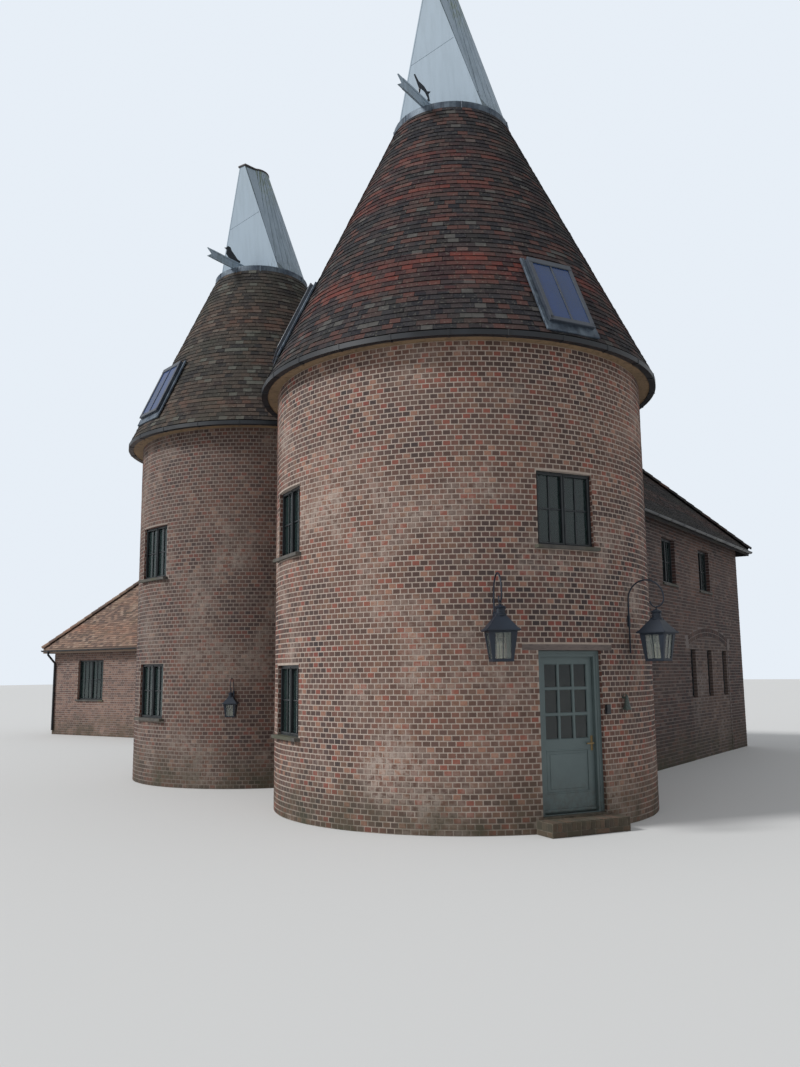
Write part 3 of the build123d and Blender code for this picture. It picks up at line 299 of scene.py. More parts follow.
def use(tree, group, **inputs):
    """Places a node group in a material."""
    node = tree.nodes.new("ShaderNodeGroup")
    node.node_tree = group
    for key, value in inputs.items():
        socket = node.inputs[key.replace("_", " ")]
        if isinstance(value, bpy.types.NodeSocket):
            tree.links.new(value, socket)
        else:
            socket.default_value = value
    return node.outputs


# Cloudy patches: a soft mask from noise, between a low and a high threshold, for dirt, lichen and repairs.
clouds, clouds_in, clouds_out = new_effect(
    "clouds", [("Vector", "Vector", None), ("Scale", "Float", 1.0), ("Low", "Float", 0.4), ("High", "Float", 0.6)], [("Mask", "Float")]
)
cloud_noise = put(clouds, "TexNoise", Vector=clouds_in.outputs["Vector"], Scale=clouds_in.outputs["Scale"], Detail=5.0, Roughness=0.6)
cloud_mask = put(clouds, "MapRange", {"clamp": True}, Value=cloud_noise.outputs["Fac"], From_Min=clouds_in.outputs["Low"], From_Max=clouds_in.outputs["High"])
clouds.links.new(cloud_mask.outputs["Result"], clouds_out.inputs["Mask"])

# Ground grime: damp, green staining that is strongest at the foot of a wall and fades upwards.
grime, grime_in, grime_out = new_effect(
    "ground_grime", [("Color", "Color", (0.5, 0.5, 0.5, 1)), ("Vector", "Vector", None), ("Reach", "Float", 0.6), ("Stain", "Color", rgb(62, 60, 44))], [("Color", "Color")]
)
grime_place = put(grime, "SeparateXYZ", Vector=grime_in.outputs["Vector"])
grime_fade = put(grime, "MapRange", {"clamp": True}, Value=grime_place.outputs["Z"], From_Min=0.0, From_Max=grime_in.outputs["Reach"], To_Min=1.0, To_Max=0.0)
grime_spots = use(grime, clouds, Vector=grime_in.outputs["Vector"], Scale=2.2, Low=0.3, High=0.7)
grime_mask = put(grime, "Math", {"operation": "MULTIPLY"}, in0=grime_fade.outputs["Result"], in1=grime_spots["Mask"])
grime.links.new(blend(grime, grime_mask.outputs[0], grime_in.outputs["Color"], grime_in.outputs["Stain"]), grime_out.inputs["Color"])

# Roughcast surface: fine pits and swellings that only tilt the light.
pits, pits_in, pits_out = new_effect(
    "pitted", [("Vector", "Vector", None), ("Scale", "Float", 60.0), ("Depth", "Float", 0.002)], [("Normal", "Vector")]
)
pit_noise = put(pits, "TexNoise", Vector=pits_in.outputs["Vector"], Scale=pits_in.outputs["Scale"], Detail=6.0, Roughness=0.65)
pit_bump = put(pits, "Bump", Strength=0.6, Distance=pits_in.outputs["Depth"], Height=pit_noise.outputs["Fac"])
pits.links.new(pit_bump.outputs["Normal"], pits_out.inputs["Normal"])


def brick_material(name, stops, lime, patches, lift):
    """Mixed stock bricks: each brick has its own colour from the ramp, smeared with lime and stained at the foot."""
    material, tree, shader, here = shade(name, Roughness=0.9)
    chance = put(tree, "NewGeometry").outputs["Random Per Island"]
    base = ramp(tree, chance, stops, "CONSTANT")
    cloud = use(tree, clouds, Vector=here, Scale=34.0, Low=0.35, High=0.75)["Mask"]
    base = blend(tree, cloud, base, blend(tree, 0.5, base, rgb(60, 48, 44)))
    swing = use(tree, clouds, Vector=here, Scale=0.45, Low=0.35, High=0.68)["Mask"]
    base = blend(tree, swing, base, blend(tree, lift, base, rgb(196, 142, 112)))
    smear = use(tree, clouds, Vector=here, Scale=0.9, Low=0.5, High=0.7)["Mask"]
    ragged = use(tree, clouds, Vector=here, Scale=11.0, Low=0.4, High=0.58)["Mask"]
    smear = put(tree, "Math", {"operation": "MULTIPLY"}, in0=smear, in1=ragged).outputs[0]
    smear = put(tree, "Math", {"operation": "MULTIPLY"}, in0=smear, in1=patches).outputs[0]
    base = blend(tree, smear, base, lime)
    base = use(tree, grime, Color=base, Vector=here, Reach=0.9)["Color"]
    tree.links.new(base, shader.inputs["Base Color"])
    tree.links.new(use(tree, pits, Vector=here, Scale=90.0, Depth=0.003)["Normal"], shader.inputs["Normal"])
    return material


# The kilns' clay colours are darker than the bricks' own colours: part of their tone is painted shade. The left kiln's
# colours are darker still.
KILN_CLAY = [
    (0.0, rgb(56, 45, 45)), (0.13, rgb(80, 58, 54)), (0.26, rgb(99, 67, 60)), (0.38, rgb(68, 56, 56)), (0.49, rgb(88, 64, 58)),
    (0.6, rgb(124, 66, 57)), (0.69, rgb(88, 72, 66)), (0.79, rgb(104, 78, 66)), (0.88, rgb(52, 45, 46)), (0.95, rgb(138, 101, 85)),
]
LEFT_KILN_CLAY = [
    (0.0, rgb(50, 41, 42)), (0.14, rgb(70, 53, 51)), (0.28, rgb(86, 61, 55)), (0.42, rgb(58, 50, 51)), (0.56, rgb(78, 60, 55)),
    (0.7, rgb(98, 60, 54)), (0.8, rgb(74, 65, 61)), (0.9, rgb(44, 39, 42)), (0.96, rgb(114, 92, 81)),
]
wear(kiln_skins["main"], brick_material("main_kiln_brick", KILN_CLAY, rgb(168, 154, 144), 0.7, 0.18))
wear(kiln_skins["left"], brick_material("left_kiln_brick", LEFT_KILN_CLAY, rgb(152, 142, 132), 0.6, 0.12))


def core_material(name, lime, clay, zone):
    """The wall behind the bricks: mortar on its face, brick courses in its reveals, and limewash inside.
    zone gives two masks, of the outer face and of the inner face, and the run along a reveal."""
    material, tree, shader, here = shade(name, Roughness=0.95)
    outside, inside, run = zone(tree, here)
    height = put(tree, "SeparateXYZ", Vector=here).outputs["Z"]
    reveal = put(tree, "CombineXYZ", X=run, Y=height)
    brick = put(tree, "TexBrick", {"offset": 0.5}, Vector=reveal.outputs[0], Color1=clay[0], Color2=clay[1], Mortar=lime, Scale=1.0)
    for key, value in (("Mortar Size", JOINT / 2), ("Mortar Smooth", 0.1), ("Bias", 0.0), ("Brick Width", 0.225), ("Row Height", GAUGE)):
        brick.inputs[key].default_value = value
    mottle = use(tree, clouds, Vector=here, Scale=16.0, Low=0.3, High=0.7)["Mask"]
    mortar = blend(tree, mottle, lime, blend(tree, 0.35, lime, rgb(110, 92, 80)))
    colour = blend(tree, outside, brick.outputs["Color"], mortar)
    colour = use(tree, grime, Color=colour, Vector=here, Reach=0.9)["Color"]
    wash = use(tree, clouds, Vector=here, Scale=3.0, Low=0.3, High=0.8)["Mask"]
    limewash = blend(tree, wash, rgb(214, 208, 196), rgb(196, 188, 172))
    colour = blend(tree, inside, colour, limewash)
    tree.links.new(colour, shader.inputs["Base Color"])
    tree.links.new(use(tree, pits, Vector=here, Scale=120.0, Depth=0.002)["Normal"], shader.inputs["Normal"])
    return material


def compare(tree, value, limit, mode="GREATER_THAN"):
    return put(tree, "Math", {"operation": mode}, in0=value, in1=limit).outputs[0]


def kiln_zone(kiln):
    """Masks of a round wall's outer and inner faces, from the distance to the kiln's axis."""
    def zone(tree, here):
        flat = put(tree, "VectorMath", {"operation": "MULTIPLY"}, in0=here, in1=(1, 1, 0)).outputs[0]
        axis = put(tree, "VectorMath", {"operation": "SUBTRACT"}, in0=flat, in1=(kiln["x"], kiln["y"], 0)).outputs[0]
        out = put(tree, "VectorMath", {"operation": "LENGTH"}, in0=axis).outputs["Value"]
        outside = compare(tree, out, kiln["radius"] - 0.002)
        inside = compare(tree, out, kiln["radius"] - WALL + 0.002, "LESS_THAN")
        return outside, inside, out
    return zone


# The kilns' lime colours are also darker than the mortar's own colour, partly as painted shade; the left kiln's is
# darker still.
KILN_LIME = {"main": rgb(172, 158, 147), "left": rgb(138, 127, 119)}
for name, kiln in KILNS.items():
    core = core_material(name + "_kiln_core", KILN_LIME[name], (rgb(120, 74, 62), rgb(88, 62, 56)), kiln_zone(kiln))
    for node in nodes:
        if node.startswith((name + "_kiln_wall", name + "_kiln_door_piers")):
            wear(nodes[node], core)

# Barn and wing brickwork: straight walls of stretchers and headers in turn (Flemish bond), darker on the barn, partly
# as painted shade, and paler on the wing, where the bricks are newer. The corners are closed by the courses that meet
# there.
STRETCHER = 0.225
BARN_WINDOWS = {"right": (7.77, 10.6), "back": (-5.1, -2.96, -0.82), "left": (5.6,)}
UPPER_SILL = 4.08
LOWER_SILL = 1.25
WING_WINDOWS = (-20.12, -16.0, -11.9)
WING_WINDOW = 1.4
WING_SILL = 1.255
ARCH_CENTRE = 10.67
ARCH_SPAN = 3.4
ARCH_SPRING = 2.7
ARCH_RISE = 0.23
ARCH_RING = 0.225
ARCH_SETBACK = 0.012
SLOT_WIDTH = 0.4
SLOT_FOOT = 1.45
SLOT_HEIGHT = 1.15
SLOT_OFFSETS = (-1.38, 0.0, 1.38)
arch_radius = (ARCH_SPAN**2 / 4 + ARCH_RISE**2) / (2 * ARCH_RISE)
arch_level = ARCH_SPRING + ARCH_RISE - arch_radius


def window_holes(places, width, height, sills):
    """Holes of a wall's casements and the beds of their sills."""
    holes = []
    for place in places:
        for foot in sills:
            holes.append((place - width / 2, place + width / 2, foot, foot + height))
            holes.append((place - width / 2 - SILL_EAR, place + width / 2 + SILL_EAR, foot - SILL_DEPTH, foot))
    return holes


def wall_skin(name, start, right, out, length, height, holes, hidden, seed):
    """The bricks of a straight wall. start is its lower left corner, right and out its two directions."""
    bricks = courses(length, height, [STRETCHER, HEADER])
    for hole in holes:
        bricks = cut_out(bricks, hole)
    start, right, out = (np.array(part, dtype=float) for part in (start, right, out))

    def on_wall(u, z, depth):
        return start + u[..., None] * right + depth[..., None] * out + z[..., None] * np.array([0, 0, 1.0])

    shown = []
    for brick in bricks:
        middle = start + (brick[0] + brick[1]) / 2 * right + (brick[2] + brick[3]) / 2 * np.array([0, 0, 1.0])
        if not hidden(*middle, (brick[0] + brick[1]) / 2):
            shown.append(brick)
    return brick_skin(name, shown, on_wall, seed)


def in_kiln(x, y, z=0, reach=0.0):
    return any(math.hypot(x - kiln["x"], y - kiln["y"]) < kiln["radius"] + reach for kiln in KILNS.values())


def in_arch(x, y, z, u):
    """Inside the filled arch or its ring, in the barn's right wall."""
    across = abs(y - ARCH_CENTRE)
    if z < ARCH_SPRING - ARCH_RING / 2:
        return across < ARCH_SPAN / 2
    out = math.hypot(across, z - arch_level)
    return out < arch_radius + ARCH_RING + 0.02 and across < ARCH_SPAN / 2 + ARCH_RING * 0.8


def under_wing(x, y, z, u):
    inset = min(y - WING["y0"], WING["y1"] - y) + OVERHANG
    return y > WING["y0"] - OVERHANG and z < WING["eaves"] + inset * math.tan(math.radians(WING["pitch"]))


barn_long = BARN["y1"] - BARN["y0"]
barn_wide = BARN["x1"] - BARN["x0"]
barn_top = BARN["eaves"] + OVERHANG * math.tan(math.radians(44)) - 0.12 / math.cos(math.radians(44))
wing_long = WING["x1"] - WING["x0"]
wing_wide = WING["y1"] - WING["y0"]
wing_top = WING["eaves"] + OVERHANG * math.tan(math.radians(46)) - 0.12 / math.cos(math.radians(46))


def kiln_hides(x, y, z, u):
    return in_kiln(x, y)


right_holes = window_holes([place - BARN["y0"] for place in BARN_WINDOWS["right"]], CASEMENT, CASEMENT_HEIGHT, [UPPER_SILL])
back_holes = window_holes([BARN["x1"] - place for place in BARN_WINDOWS["back"]], CASEMENT, CASEMENT_HEIGHT, [LOWER_SILL, UPPER_SILL])
left_holes = window_holes([BARN["y1"] - place for place in BARN_WINDOWS["left"]], CASEMENT, CASEMENT_HEIGHT, [UPPER_SILL])
barn_skins = [
    wall_skin("barn_right_bricks", (BARN["x1"], BARN["y0"], 0), (0, 1, 0), (1, 0, 0), barn_long, barn_top, right_holes,
              lambda x, y, z, u: in_arch(x, y, z, u) or in_kiln(x, y), 11),
    wall_skin("barn_back_bricks", (BARN["x1"], BARN["y1"], 0), (-1, 0, 0), (0, 1, 0), barn_wide, barn_top, back_holes, kiln_hides, 12),
    wall_skin("barn_left_bricks", (BARN["x0"], BARN["y1"], 0), (0, -1, 0), (-1, 0, 0), barn_long, barn_top, left_holes,
              lambda x, y, z, u: in_kiln(x, y) or under_wing(x, y, z, u), 13),
    wall_skin("barn_front_bricks", (BARN["x0"], BARN["y0"], 0), (1, 0, 0), (0, -1, 0), barn_wide, barn_top, [], kiln_hides, 14),
]
wing_sills = [WING_SILL]
front_holes = window_holes([place - WING["x0"] for place in WING_WINDOWS], WING_WINDOW, WING_WINDOW, wing_sills)
rear_holes = window_holes([WING["x1"] - place for place in WING_WINDOWS], WING_WINDOW, WING_WINDOW, wing_sills)
wing_skins = [
    wall_skin("wing_front_bricks", (WING["x0"], WING["y0"], 0), (1, 0, 0), (0, -1, 0), wing_long, wing_top, front_holes, kiln_hides, 21),
    wall_skin("wing_back_bricks", (WING["x1"], WING["y1"], 0), (-1, 0, 0), (0, 1, 0), wing_long, wing_top, rear_holes, kiln_hides, 22),
    wall_skin("wing_end_bricks", (WING["x0"], WING["y1"], 0), (0, -1, 0), (-1, 0, 0), wing_wide, wing_top, [], kiln_hides, 23),
]

# The barn's clay and lime colours, here and in its core, are darker than the bricks' own colours: partly painted shade
# of the kilns' shadow.
BARN_CLAY_AND_SHADE = [
    (0.0, rgb(36, 32, 36)), (0.15, rgb(53, 42, 43)), (0.3, rgb(43, 38, 41)), (0.45, rgb(67, 50, 48)), (0.58, rgb(33, 31, 35)),
    (0.7, rgb(60, 51, 51)), (0.82, rgb(82, 56, 51)), (0.93, rgb(90, 78, 74)),
]
WING_CLAY = [
    (0.0, rgb(112, 86, 78)), (0.2, rgb(97, 73, 68)), (0.4, rgb(122, 94, 83)), (0.6, rgb(88, 70, 66)), (0.8, rgb(130, 104, 93)),
    (0.93, rgb(88, 71, 68)),
]
BARN_LIME_AND_SHADE = rgb(112, 104, 102)
WING_LIME = rgb(150, 138, 130)
barn_brick = brick_material("barn_brick", BARN_CLAY_AND_SHADE, rgb(118, 108, 102), 0.5, 0.12)
wing_brick = brick_material("wing_brick", WING_CLAY, rgb(154, 140, 129), 0.3, 0.1)
for piece in barn_skins:
    wear(piece, barn_brick)
for piece in wing_skins:
    wear(piece, wing_brick)


def straight_zone(plan):
    """Masks of straight walls: outside at the plan's edges, inside a wall's thickness within them."""
    def zone(tree, here):
        place = put(tree, "SeparateXYZ", Vector=here)
        gaps = []
        for axis, low, high in (("X", plan["x0"], plan["x1"]), ("Y", plan["y0"], plan["y1"])):
            middle = put(tree, "Math", {"operation": "SUBTRACT"}, in0=place.outputs[axis], in1=(low + high) / 2).outputs[0]
            away = put(tree, "Math", {"operation": "ABSOLUTE"}, in0=middle).outputs[0]
            gaps.append(put(tree, "Math", {"operation": "SUBTRACT"}, in0=(high - low) / 2, in1=away).outputs[0])
        gap = put(tree, "Math", {"operation": "MINIMUM"}, in0=gaps[0], in1=gaps[1]).outputs[0]
        return compare(tree, gap, 0.002, "LESS_THAN"), compare(tree, gap, WALL - 0.002), gap
    return zone


barn_core = core_material("barn_core", BARN_LIME_AND_SHADE, (rgb(90, 62, 56), rgb(62, 48, 46)), straight_zone(BARN))
wing_core = core_material("wing_core", WING_LIME, (rgb(150, 114, 100), rgb(124, 94, 84)), straight_zone(WING))
for node in nodes:
    if node.startswith("barn_wall"):
        wear(nodes[node], barn_core)
    if node.startswith("wing_wall"):
        wear(nodes[node], wing_core)

# The filled arch: a ring of two rows of headers over an old cart opening, bricked up later with three slots left.
# The infill stands a little behind the wall's face, and its lime is greyer.
ring_bricks = []
steps = round(2 * math.asin(ARCH_SPAN / 2 / arch_radius) * arch_radius / GAUGE)
sweep = math.asin(ARCH_SPAN / 2 / arch_radius)
for row in range(2):
    low = arch_radius + row * HEADER
    for step in range(steps):
        start = -sweep + (2 * sweep) * step / steps
        ring_bricks.append((start + JOINT / 2 / low, start + 2 * sweep / steps - JOINT / 2 / low, low + JOINT / 2, low + HEADER - JOINT / 2))


def on_ring(u, out, depth):
    return np.stack([BARN["x1"] + depth, ARCH_CENTRE + out * np.sin(u), arch_level + out * np.cos(u)], axis=-1)


def ring_skin():
    """The ring's bricks, worked out in metres along the arch so that their arrises stay square."""
    face = np.array(ring_bricks)
    face[:, :2] *= arch_radius
    return brick_skin("arch_ring_bricks", face, lambda u, z, depth: on_ring(u / arch_radius, z, depth), 31)


arch_skin = ring_skin()
infill = courses(ARCH_SPAN, ARCH_SPRING + ARCH_RISE, [HEADER, STRETCHER])
for offset in SLOT_OFFSETS:
    middle = ARCH_SPAN / 2 + offset
    infill = cut_out(infill, (middle - SLOT_WIDTH / 2, middle + SLOT_WIDTH / 2, SLOT_FOOT, SLOT_FOOT + SLOT_HEIGHT))
infill = [b for b in infill if math.hypot((b[0] + b[1]) / 2 - ARCH_SPAN / 2, b[3] - arch_level) < arch_radius - 0.01]
infill_skin = brick_skin(
    "arch_infill_bricks", infill,
    lambda u, z, depth: np.stack([BARN["x1"] - ARCH_SETBACK + depth, ARCH_CENTRE - ARCH_SPAN / 2 + u, z], axis=-1), 32,
)
INFILL_CLAY = [
    (0.0, rgb(68, 58, 57)), (0.2, rgb(82, 68, 64)), (0.4, rgb(56, 50, 52)), (0.6, rgb(94, 78, 72)), (0.8, rgb(75, 65, 63)), (0.92, rgb(106, 95, 89)),
]
infill_brick = brick_material("arch_infill_brick", INFILL_CLAY, rgb(124, 117, 112), 0.8, 0.1)
wear(arch_skin, barn_brick)
wear(infill_skin, infill_brick)
wear(nodes["barn_arch"], barn_core)
wear(nodes["barn_arch_infill"], core_material("infill_core", rgb(120, 112, 107), (rgb(96, 80, 74), rgb(80, 68, 64)), straight_zone(BARN)))

# Kiln roofs: plain clay tiles hung in rings on the cones, each ring covering the heads of the one below.
# Fewer tiles go into each ring towards the top, and the tiles round the roof windows stop at their flashings.
TILE_WIDTH = 0.168
TILE_GAUGE = 0.1
TILE_GAP = 0.003
TILE_THICK = 0.013
CURB_RADIUS = 1.04
SKYLIGHT_WIDTH = 0.78
SKYLIGHT_LENGTH = 1.25
SKYLIGHTS = {"main": ((61, 7.52), (-42, 7.86)), "left": ((-16, 7.95),)}


def tile_skin(name, low_left, low_right, high_right, high_left, out, seed):
    """Tiles as thin wedges: each lies on the roof at its head, and lifts at its tail by its thickness."""
    chance = np.random.default_rng(seed)
    count = len(low_left)
    lift = TILE_THICK * (0.8 + 0.5 * chance.random((count, 1)))
    skew = lift + chance.normal(0, 0.0015, (count, 1))
    head = np.full((count, 1), 0.002)
    points = np.stack([
        low_left - 0.002 * out, low_right - 0.002 * out, low_left + lift * out, low_right + skew * out,
        high_right + head * out, high_left + head * out,
    ], axis=1).reshape(-1, 3)
    faces = []
    for start in range(0, 6 * count, 6):
        a, b, c, d, e, f = range(start, start + 6)
        faces += [(c, d, e, f), (a, b, d, c), (b, e, d), (a, c, f)]
    return mesh_piece(name, points, faces)


tile_skins = {}
for name, kiln in KILNS.items():
    run = kiln["foot"] - CURB_RADIUS
    rise = kiln["curb"] - kiln["eaves"]
    slant = math.hypot(run, rise)
    out_flat, out_up = rise / slant, run / slant
    rows = round(slant / TILE_GAUGE)
    chance = random.Random(name)
    tiles = []
    for row in range(rows):
        low_radius = kiln["foot"] - run * row / rows
        high_radius = kiln["foot"] - run * (row + 1.04) / rows
        low, high = kiln["eaves"] + rise * row / rows, kiln["eaves"] + rise * min((row + 1.04) / rows, 1)
        around = round(2 * math.pi * low_radius / TILE_WIDTH)
        for place in range(around):
            middle = 2 * math.pi * (place + (0.5 if row % 2 else 0) + chance.uniform(-0.02, 0.02)) / around
            clear = True
            for angle, level in SKYLIGHTS[name]:
                across = ((middle - math.radians(angle) + math.pi) % (2 * math.pi) - math.pi) * low_radius
                along = (low - level) / rise * slant
                if abs(across) < SKYLIGHT_WIDTH / 2 + 0.05 and abs(along + TILE_GAUGE / 2) < SKYLIGHT_LENGTH / 2 + 0.04:
                    clear = False
            if clear:
                tiles.append((middle, low_radius, high_radius, low, high, math.pi / around - TILE_GAP / 2 / low_radius))
    middle, low_radius, high_radius, low, high, half = np.array(tiles).T

    def on_cone(angle, radius, level, kiln=kiln):
        return np.stack([kiln["x"] + radius * np.sin(angle), kiln["y"] - radius * np.cos(angle), level], axis=-1)

    out = np.stack([out_flat * np.sin(middle), -out_flat * np.cos(middle), np.full(len(middle), out_up)], axis=-1)
    tile_skins[name] = tile_skin(
        name + "_kiln_tiles", on_cone(middle - half, low_radius, low), on_cone(middle + half, low_radius, low),
        on_cone(middle + half, high_radius, high), on_cone(middle - half, high_radius, high), out, len(name) + 40,
    )


def tile_material(name, stops, band, moss, band_low, band_high, moss_amount):
    """Weathered tiles: a colour for each tile, redder bands where newer tiles were laid, moss and lichen, and painted
    shade on the downward tails.
    """
    material, tree, shader, here = shade(name, Roughness=0.88, Specular_IOR_Level=0.25)
    chance = put(tree, "NewGeometry").outputs["Random Per Island"]
    base = ramp(tree, chance, stops, "CONSTANT")
    flat = put(tree, "VectorMath", {"operation": "MULTIPLY"}, in0=here, in1=(0.16, 0.16, 1.7)).outputs[0]
    bands = use(tree, clouds, Vector=flat, Scale=0.9, Low=0.46, High=0.6)["Mask"]
    height = put(tree, "SeparateXYZ", Vector=here).outputs["Z"]
    fade = put(tree, "MapRange", {"clamp": True}, Value=height, From_Min=band_high, From_Max=band_high + 1.2, To_Min=1.0, To_Max=0.0)
    rise_in = put(tree, "MapRange", {"clamp": True}, Value=height, From_Min=band_low - 0.5, From_Max=band_low)
    zone = put(tree, "Math", {"operation": "MULTIPLY"}, in0=fade.outputs["Result"], in1=rise_in.outputs["Result"]).outputs[0]
    bands = put(tree, "Math", {"operation": "MULTIPLY"}, in0=bands, in1=zone).outputs[0]
    single = put(tree, "MapRange", {"clamp": True}, Value=chance, From_Min=0.35, From_Max=0.95, To_Min=0.15, To_Max=0.9).outputs["Result"]
    bands = put(tree, "Math", {"operation": "MULTIPLY"}, in0=bands, in1=single).outputs[0]
    base = blend(tree, bands, base, band)
    growth = use(tree, clouds, Vector=here, Scale=1.7, Low=0.48, High=0.72)["Mask"]
    growth = put(tree, "Math", {"operation": "MULTIPLY"}, in0=growth, in1=moss_amount).outputs[0]
    base = blend(tree, growth, base, moss)
    spots = use(tree, clouds, Vector=here, Scale=26.0, Low=0.56, High=0.7)["Mask"]
    base = blend(tree, spots, base, blend(tree, 0.35, base, rgb(128, 126, 114)))
    # Painted shade: faces that look downward, the tiles' tails, are darkened to near black for the shadow under each
    # course.
    facing = put(tree, "SeparateXYZ", Vector=put(tree, "NewGeometry").outputs["True Normal"]).outputs["Z"]
    tail = put(tree, "Math", {"operation": "MULTIPLY"}, in0=compare(tree, facing, -0.3, "LESS_THAN"), in1=0.8).outputs[0]
    base = blend(tree, tail, base, rgb(16, 15, 17))
    tree.links.new(base, shader.inputs["Base Color"])
    tree.links.new(use(tree, pits, Vector=here, Scale=70.0, Depth=0.003)["Normal"], shader.inputs["Normal"])
    return material


# The main kiln's tile colours are darker and bluer than the clay's own colour, partly as painted shade of the roof.
MAIN_CLAY_AND_SHADE = [
    (0.0, rgb(42, 38, 40)), (0.16, rgb(54, 47, 48)), (0.32, rgb(33, 32, 37)), (0.46, rgb(66, 51, 49)), (0.6, rgb(46, 44, 47)),
    (0.74, rgb(78, 53, 49)), (0.86, rgb(37, 36, 40)), (0.95, rgb(76, 74, 72)),
]
LEFT_CLAY = [
    (0.0, rgb(54, 50, 47)), (0.2, rgb(67, 60, 55)), (0.38, rgb(44, 42, 42)), (0.55, rgb(75, 65, 58)), (0.72, rgb(59, 55, 51)),
    (0.88, rgb(84, 84, 78)),
]
tile_finish = {
    "main": tile_material("main_kiln_tile", MAIN_CLAY_AND_SHADE, rgb(106, 52, 44), rgb(50, 52, 48), 7.6, 9.9, 0.5),
    "left": tile_material("left_kiln_tile", LEFT_CLAY, rgb(92, 66, 56), rgb(62, 63, 54), 7.4, 9.4, 0.45),
}
for name, piece in tile_skins.items():
    wear(piece, tile_finish[name])
    wear(nodes[name + "_kiln_roof"], tile_finish[name])

# Barn and wing roofs: the same plain tiles in straight courses, with half-round tiles bedded along hips and ridge.
# The barn's tiles are nearly black, partly with age and partly as painted shade, and the wing's are pale and newer.


def slope_tiles(corner, right, up, length, inset_rate, slant, keep, seed, both=True):
    """Tiles of one roof slope, cut to its hips. Returns the four corners of every tile, and the way out."""
    corner, right, up = (np.array(part, dtype=float) for part in (corner, right, up))
    out = np.cross(right, up)
    rows = round(slant / TILE_GAUGE)
    chance = random.Random(seed)
    spots = []
    for row in range(rows):
        low, high = slant * row / rows, slant * min((row + 1.04) / rows, 1)
        low_inset, high_inset = low * inset_rate, high * inset_rate
        low_end = length - low_inset if both else length
        high_end = length - high_inset if both else length
        for place in range(int(length / TILE_WIDTH) + 2):
            start = (place - (0.5 if row % 2 else 0)) * TILE_WIDTH + chance.uniform(-0.003, 0.003)
            end = start + TILE_WIDTH - TILE_GAP
            low_pair = max(start, low_inset), min(end, low_end)
            high_pair = max(start, high_inset), min(end, high_end)
            if low_pair[1] - low_pair[0] < 0.02:
                continue
            if high_pair[1] <= high_pair[0]:
                middle = min(max((start + end) / 2, high_inset), high_end)
                high_pair = middle, middle + 0.001
            point = corner + (low_pair[0] + low_pair[1]) / 2 * right + (low + high) / 2 * up
            if keep(*point):
                spots.append((low_pair, high_pair, low, high))
    if not spots:
        return None
    low_pair, high_pair = np.array([s[0] for s in spots]), np.array([s[1] for s in spots])
    low, high = np.array([s[2] for s in spots])[:, None], np.array([s[3] for s in spots])[:, None]
    corners = (
        corner + low_pair[:, :1] * right + low * up, corner + low_pair[:, 1:] * right + low * up,
        corner + high_pair[:, 1:] * right + high * up, corner + high_pair[:, :1] * right + high * up,
    )
    return corners, np.repeat(out[None], len(spots), axis=0)


def off_kilns(x, y, z):
    return not in_kiln(x, y, reach=0.09 if z < 6.55 else 0.36)


def off_barn(x, y, z):
    """Wing tiles stop at the barn's wall, its eaves and its roof."""
    if z < BARN["eaves"] - 0.17:
        return x < BARN["x0"]
    return x < BARN["x0"] - OVERHANG + max(0.0, z - BARN["eaves"]) / math.tan(math.radians(BARN["pitch"]))


def roof_lines(plan):
    x0, x1 = plan["x0"] - OVERHANG, plan["x1"] + OVERHANG
    y0, y1 = plan["y0"] - OVERHANG, plan["y1"] + OVERHANG
    pitch = math.radians(plan["pitch"])
    return x0, x1, y0, y1, math.cos(pitch), math.sin(pitch), plan["eaves"]


x0, x1, y0, y1, level, rise, eaves = roof_lines(BARN)
slant = (x1 - x0) / 2 / level
slopes = [
    slope_tiles((x1, y0, eaves), (0, 1, 0), (-level, 0, rise), y1 - y0, level, slant, off_kilns, 51),
    slope_tiles((x0, y1, eaves), (0, -1, 0), (level, 0, rise), y1 - y0, level, slant, off_kilns, 52),
    slope_tiles((x1, y1, eaves), (-1, 0, 0), (0, -level, rise), x1 - x0, level, slant, off_kilns, 53),
    slope_tiles((x0, y0, eaves), (1, 0, 0), (0, level, rise), x1 - x0, level, slant, off_kilns, 54),
]


def roof_skin(name, slopes, seed):
    corners = [np.concatenate([slope[0][part] for slope in slopes]) for part in range(4)]
    out = np.concatenate([slope[1] for slope in slopes])
    return tile_skin(name, *corners, out, seed)


barn_tiles = roof_skin("barn_tiles", slopes, 55)
x0, x1, y0, y1, level, rise, eaves = roof_lines(WING)
x1 = BARN["x0"] + 3.2
slant = (y1 - y0) / 2 / level
slopes = [
    slope_tiles((x0, y0, eaves), (1, 0, 0), (0, level, rise), x1 - x0, level, slant, off_barn, 61, both=False),
    slope_tiles((x0, y1, eaves), (0, -1, 0), (level, 0, rise), y1 - y0, level, slant, off_barn, 63),
]
mirrored = slope_tiles((x0, y0, eaves), (1, 0, 0), (0, level, rise), x1 - x0, level, slant, off_barn, 62, both=False)
flip = np.array([1, -1, 1.0])
shift = np.array([0, y0 + y1, 0.0])
turned = [part * flip + shift for part in mirrored[0]]
slopes.append(((turned[1], turned[0], turned[3], turned[2]), mirrored[1] * flip))
wing_tiles = roof_skin("wing_tiles", slopes, 64)

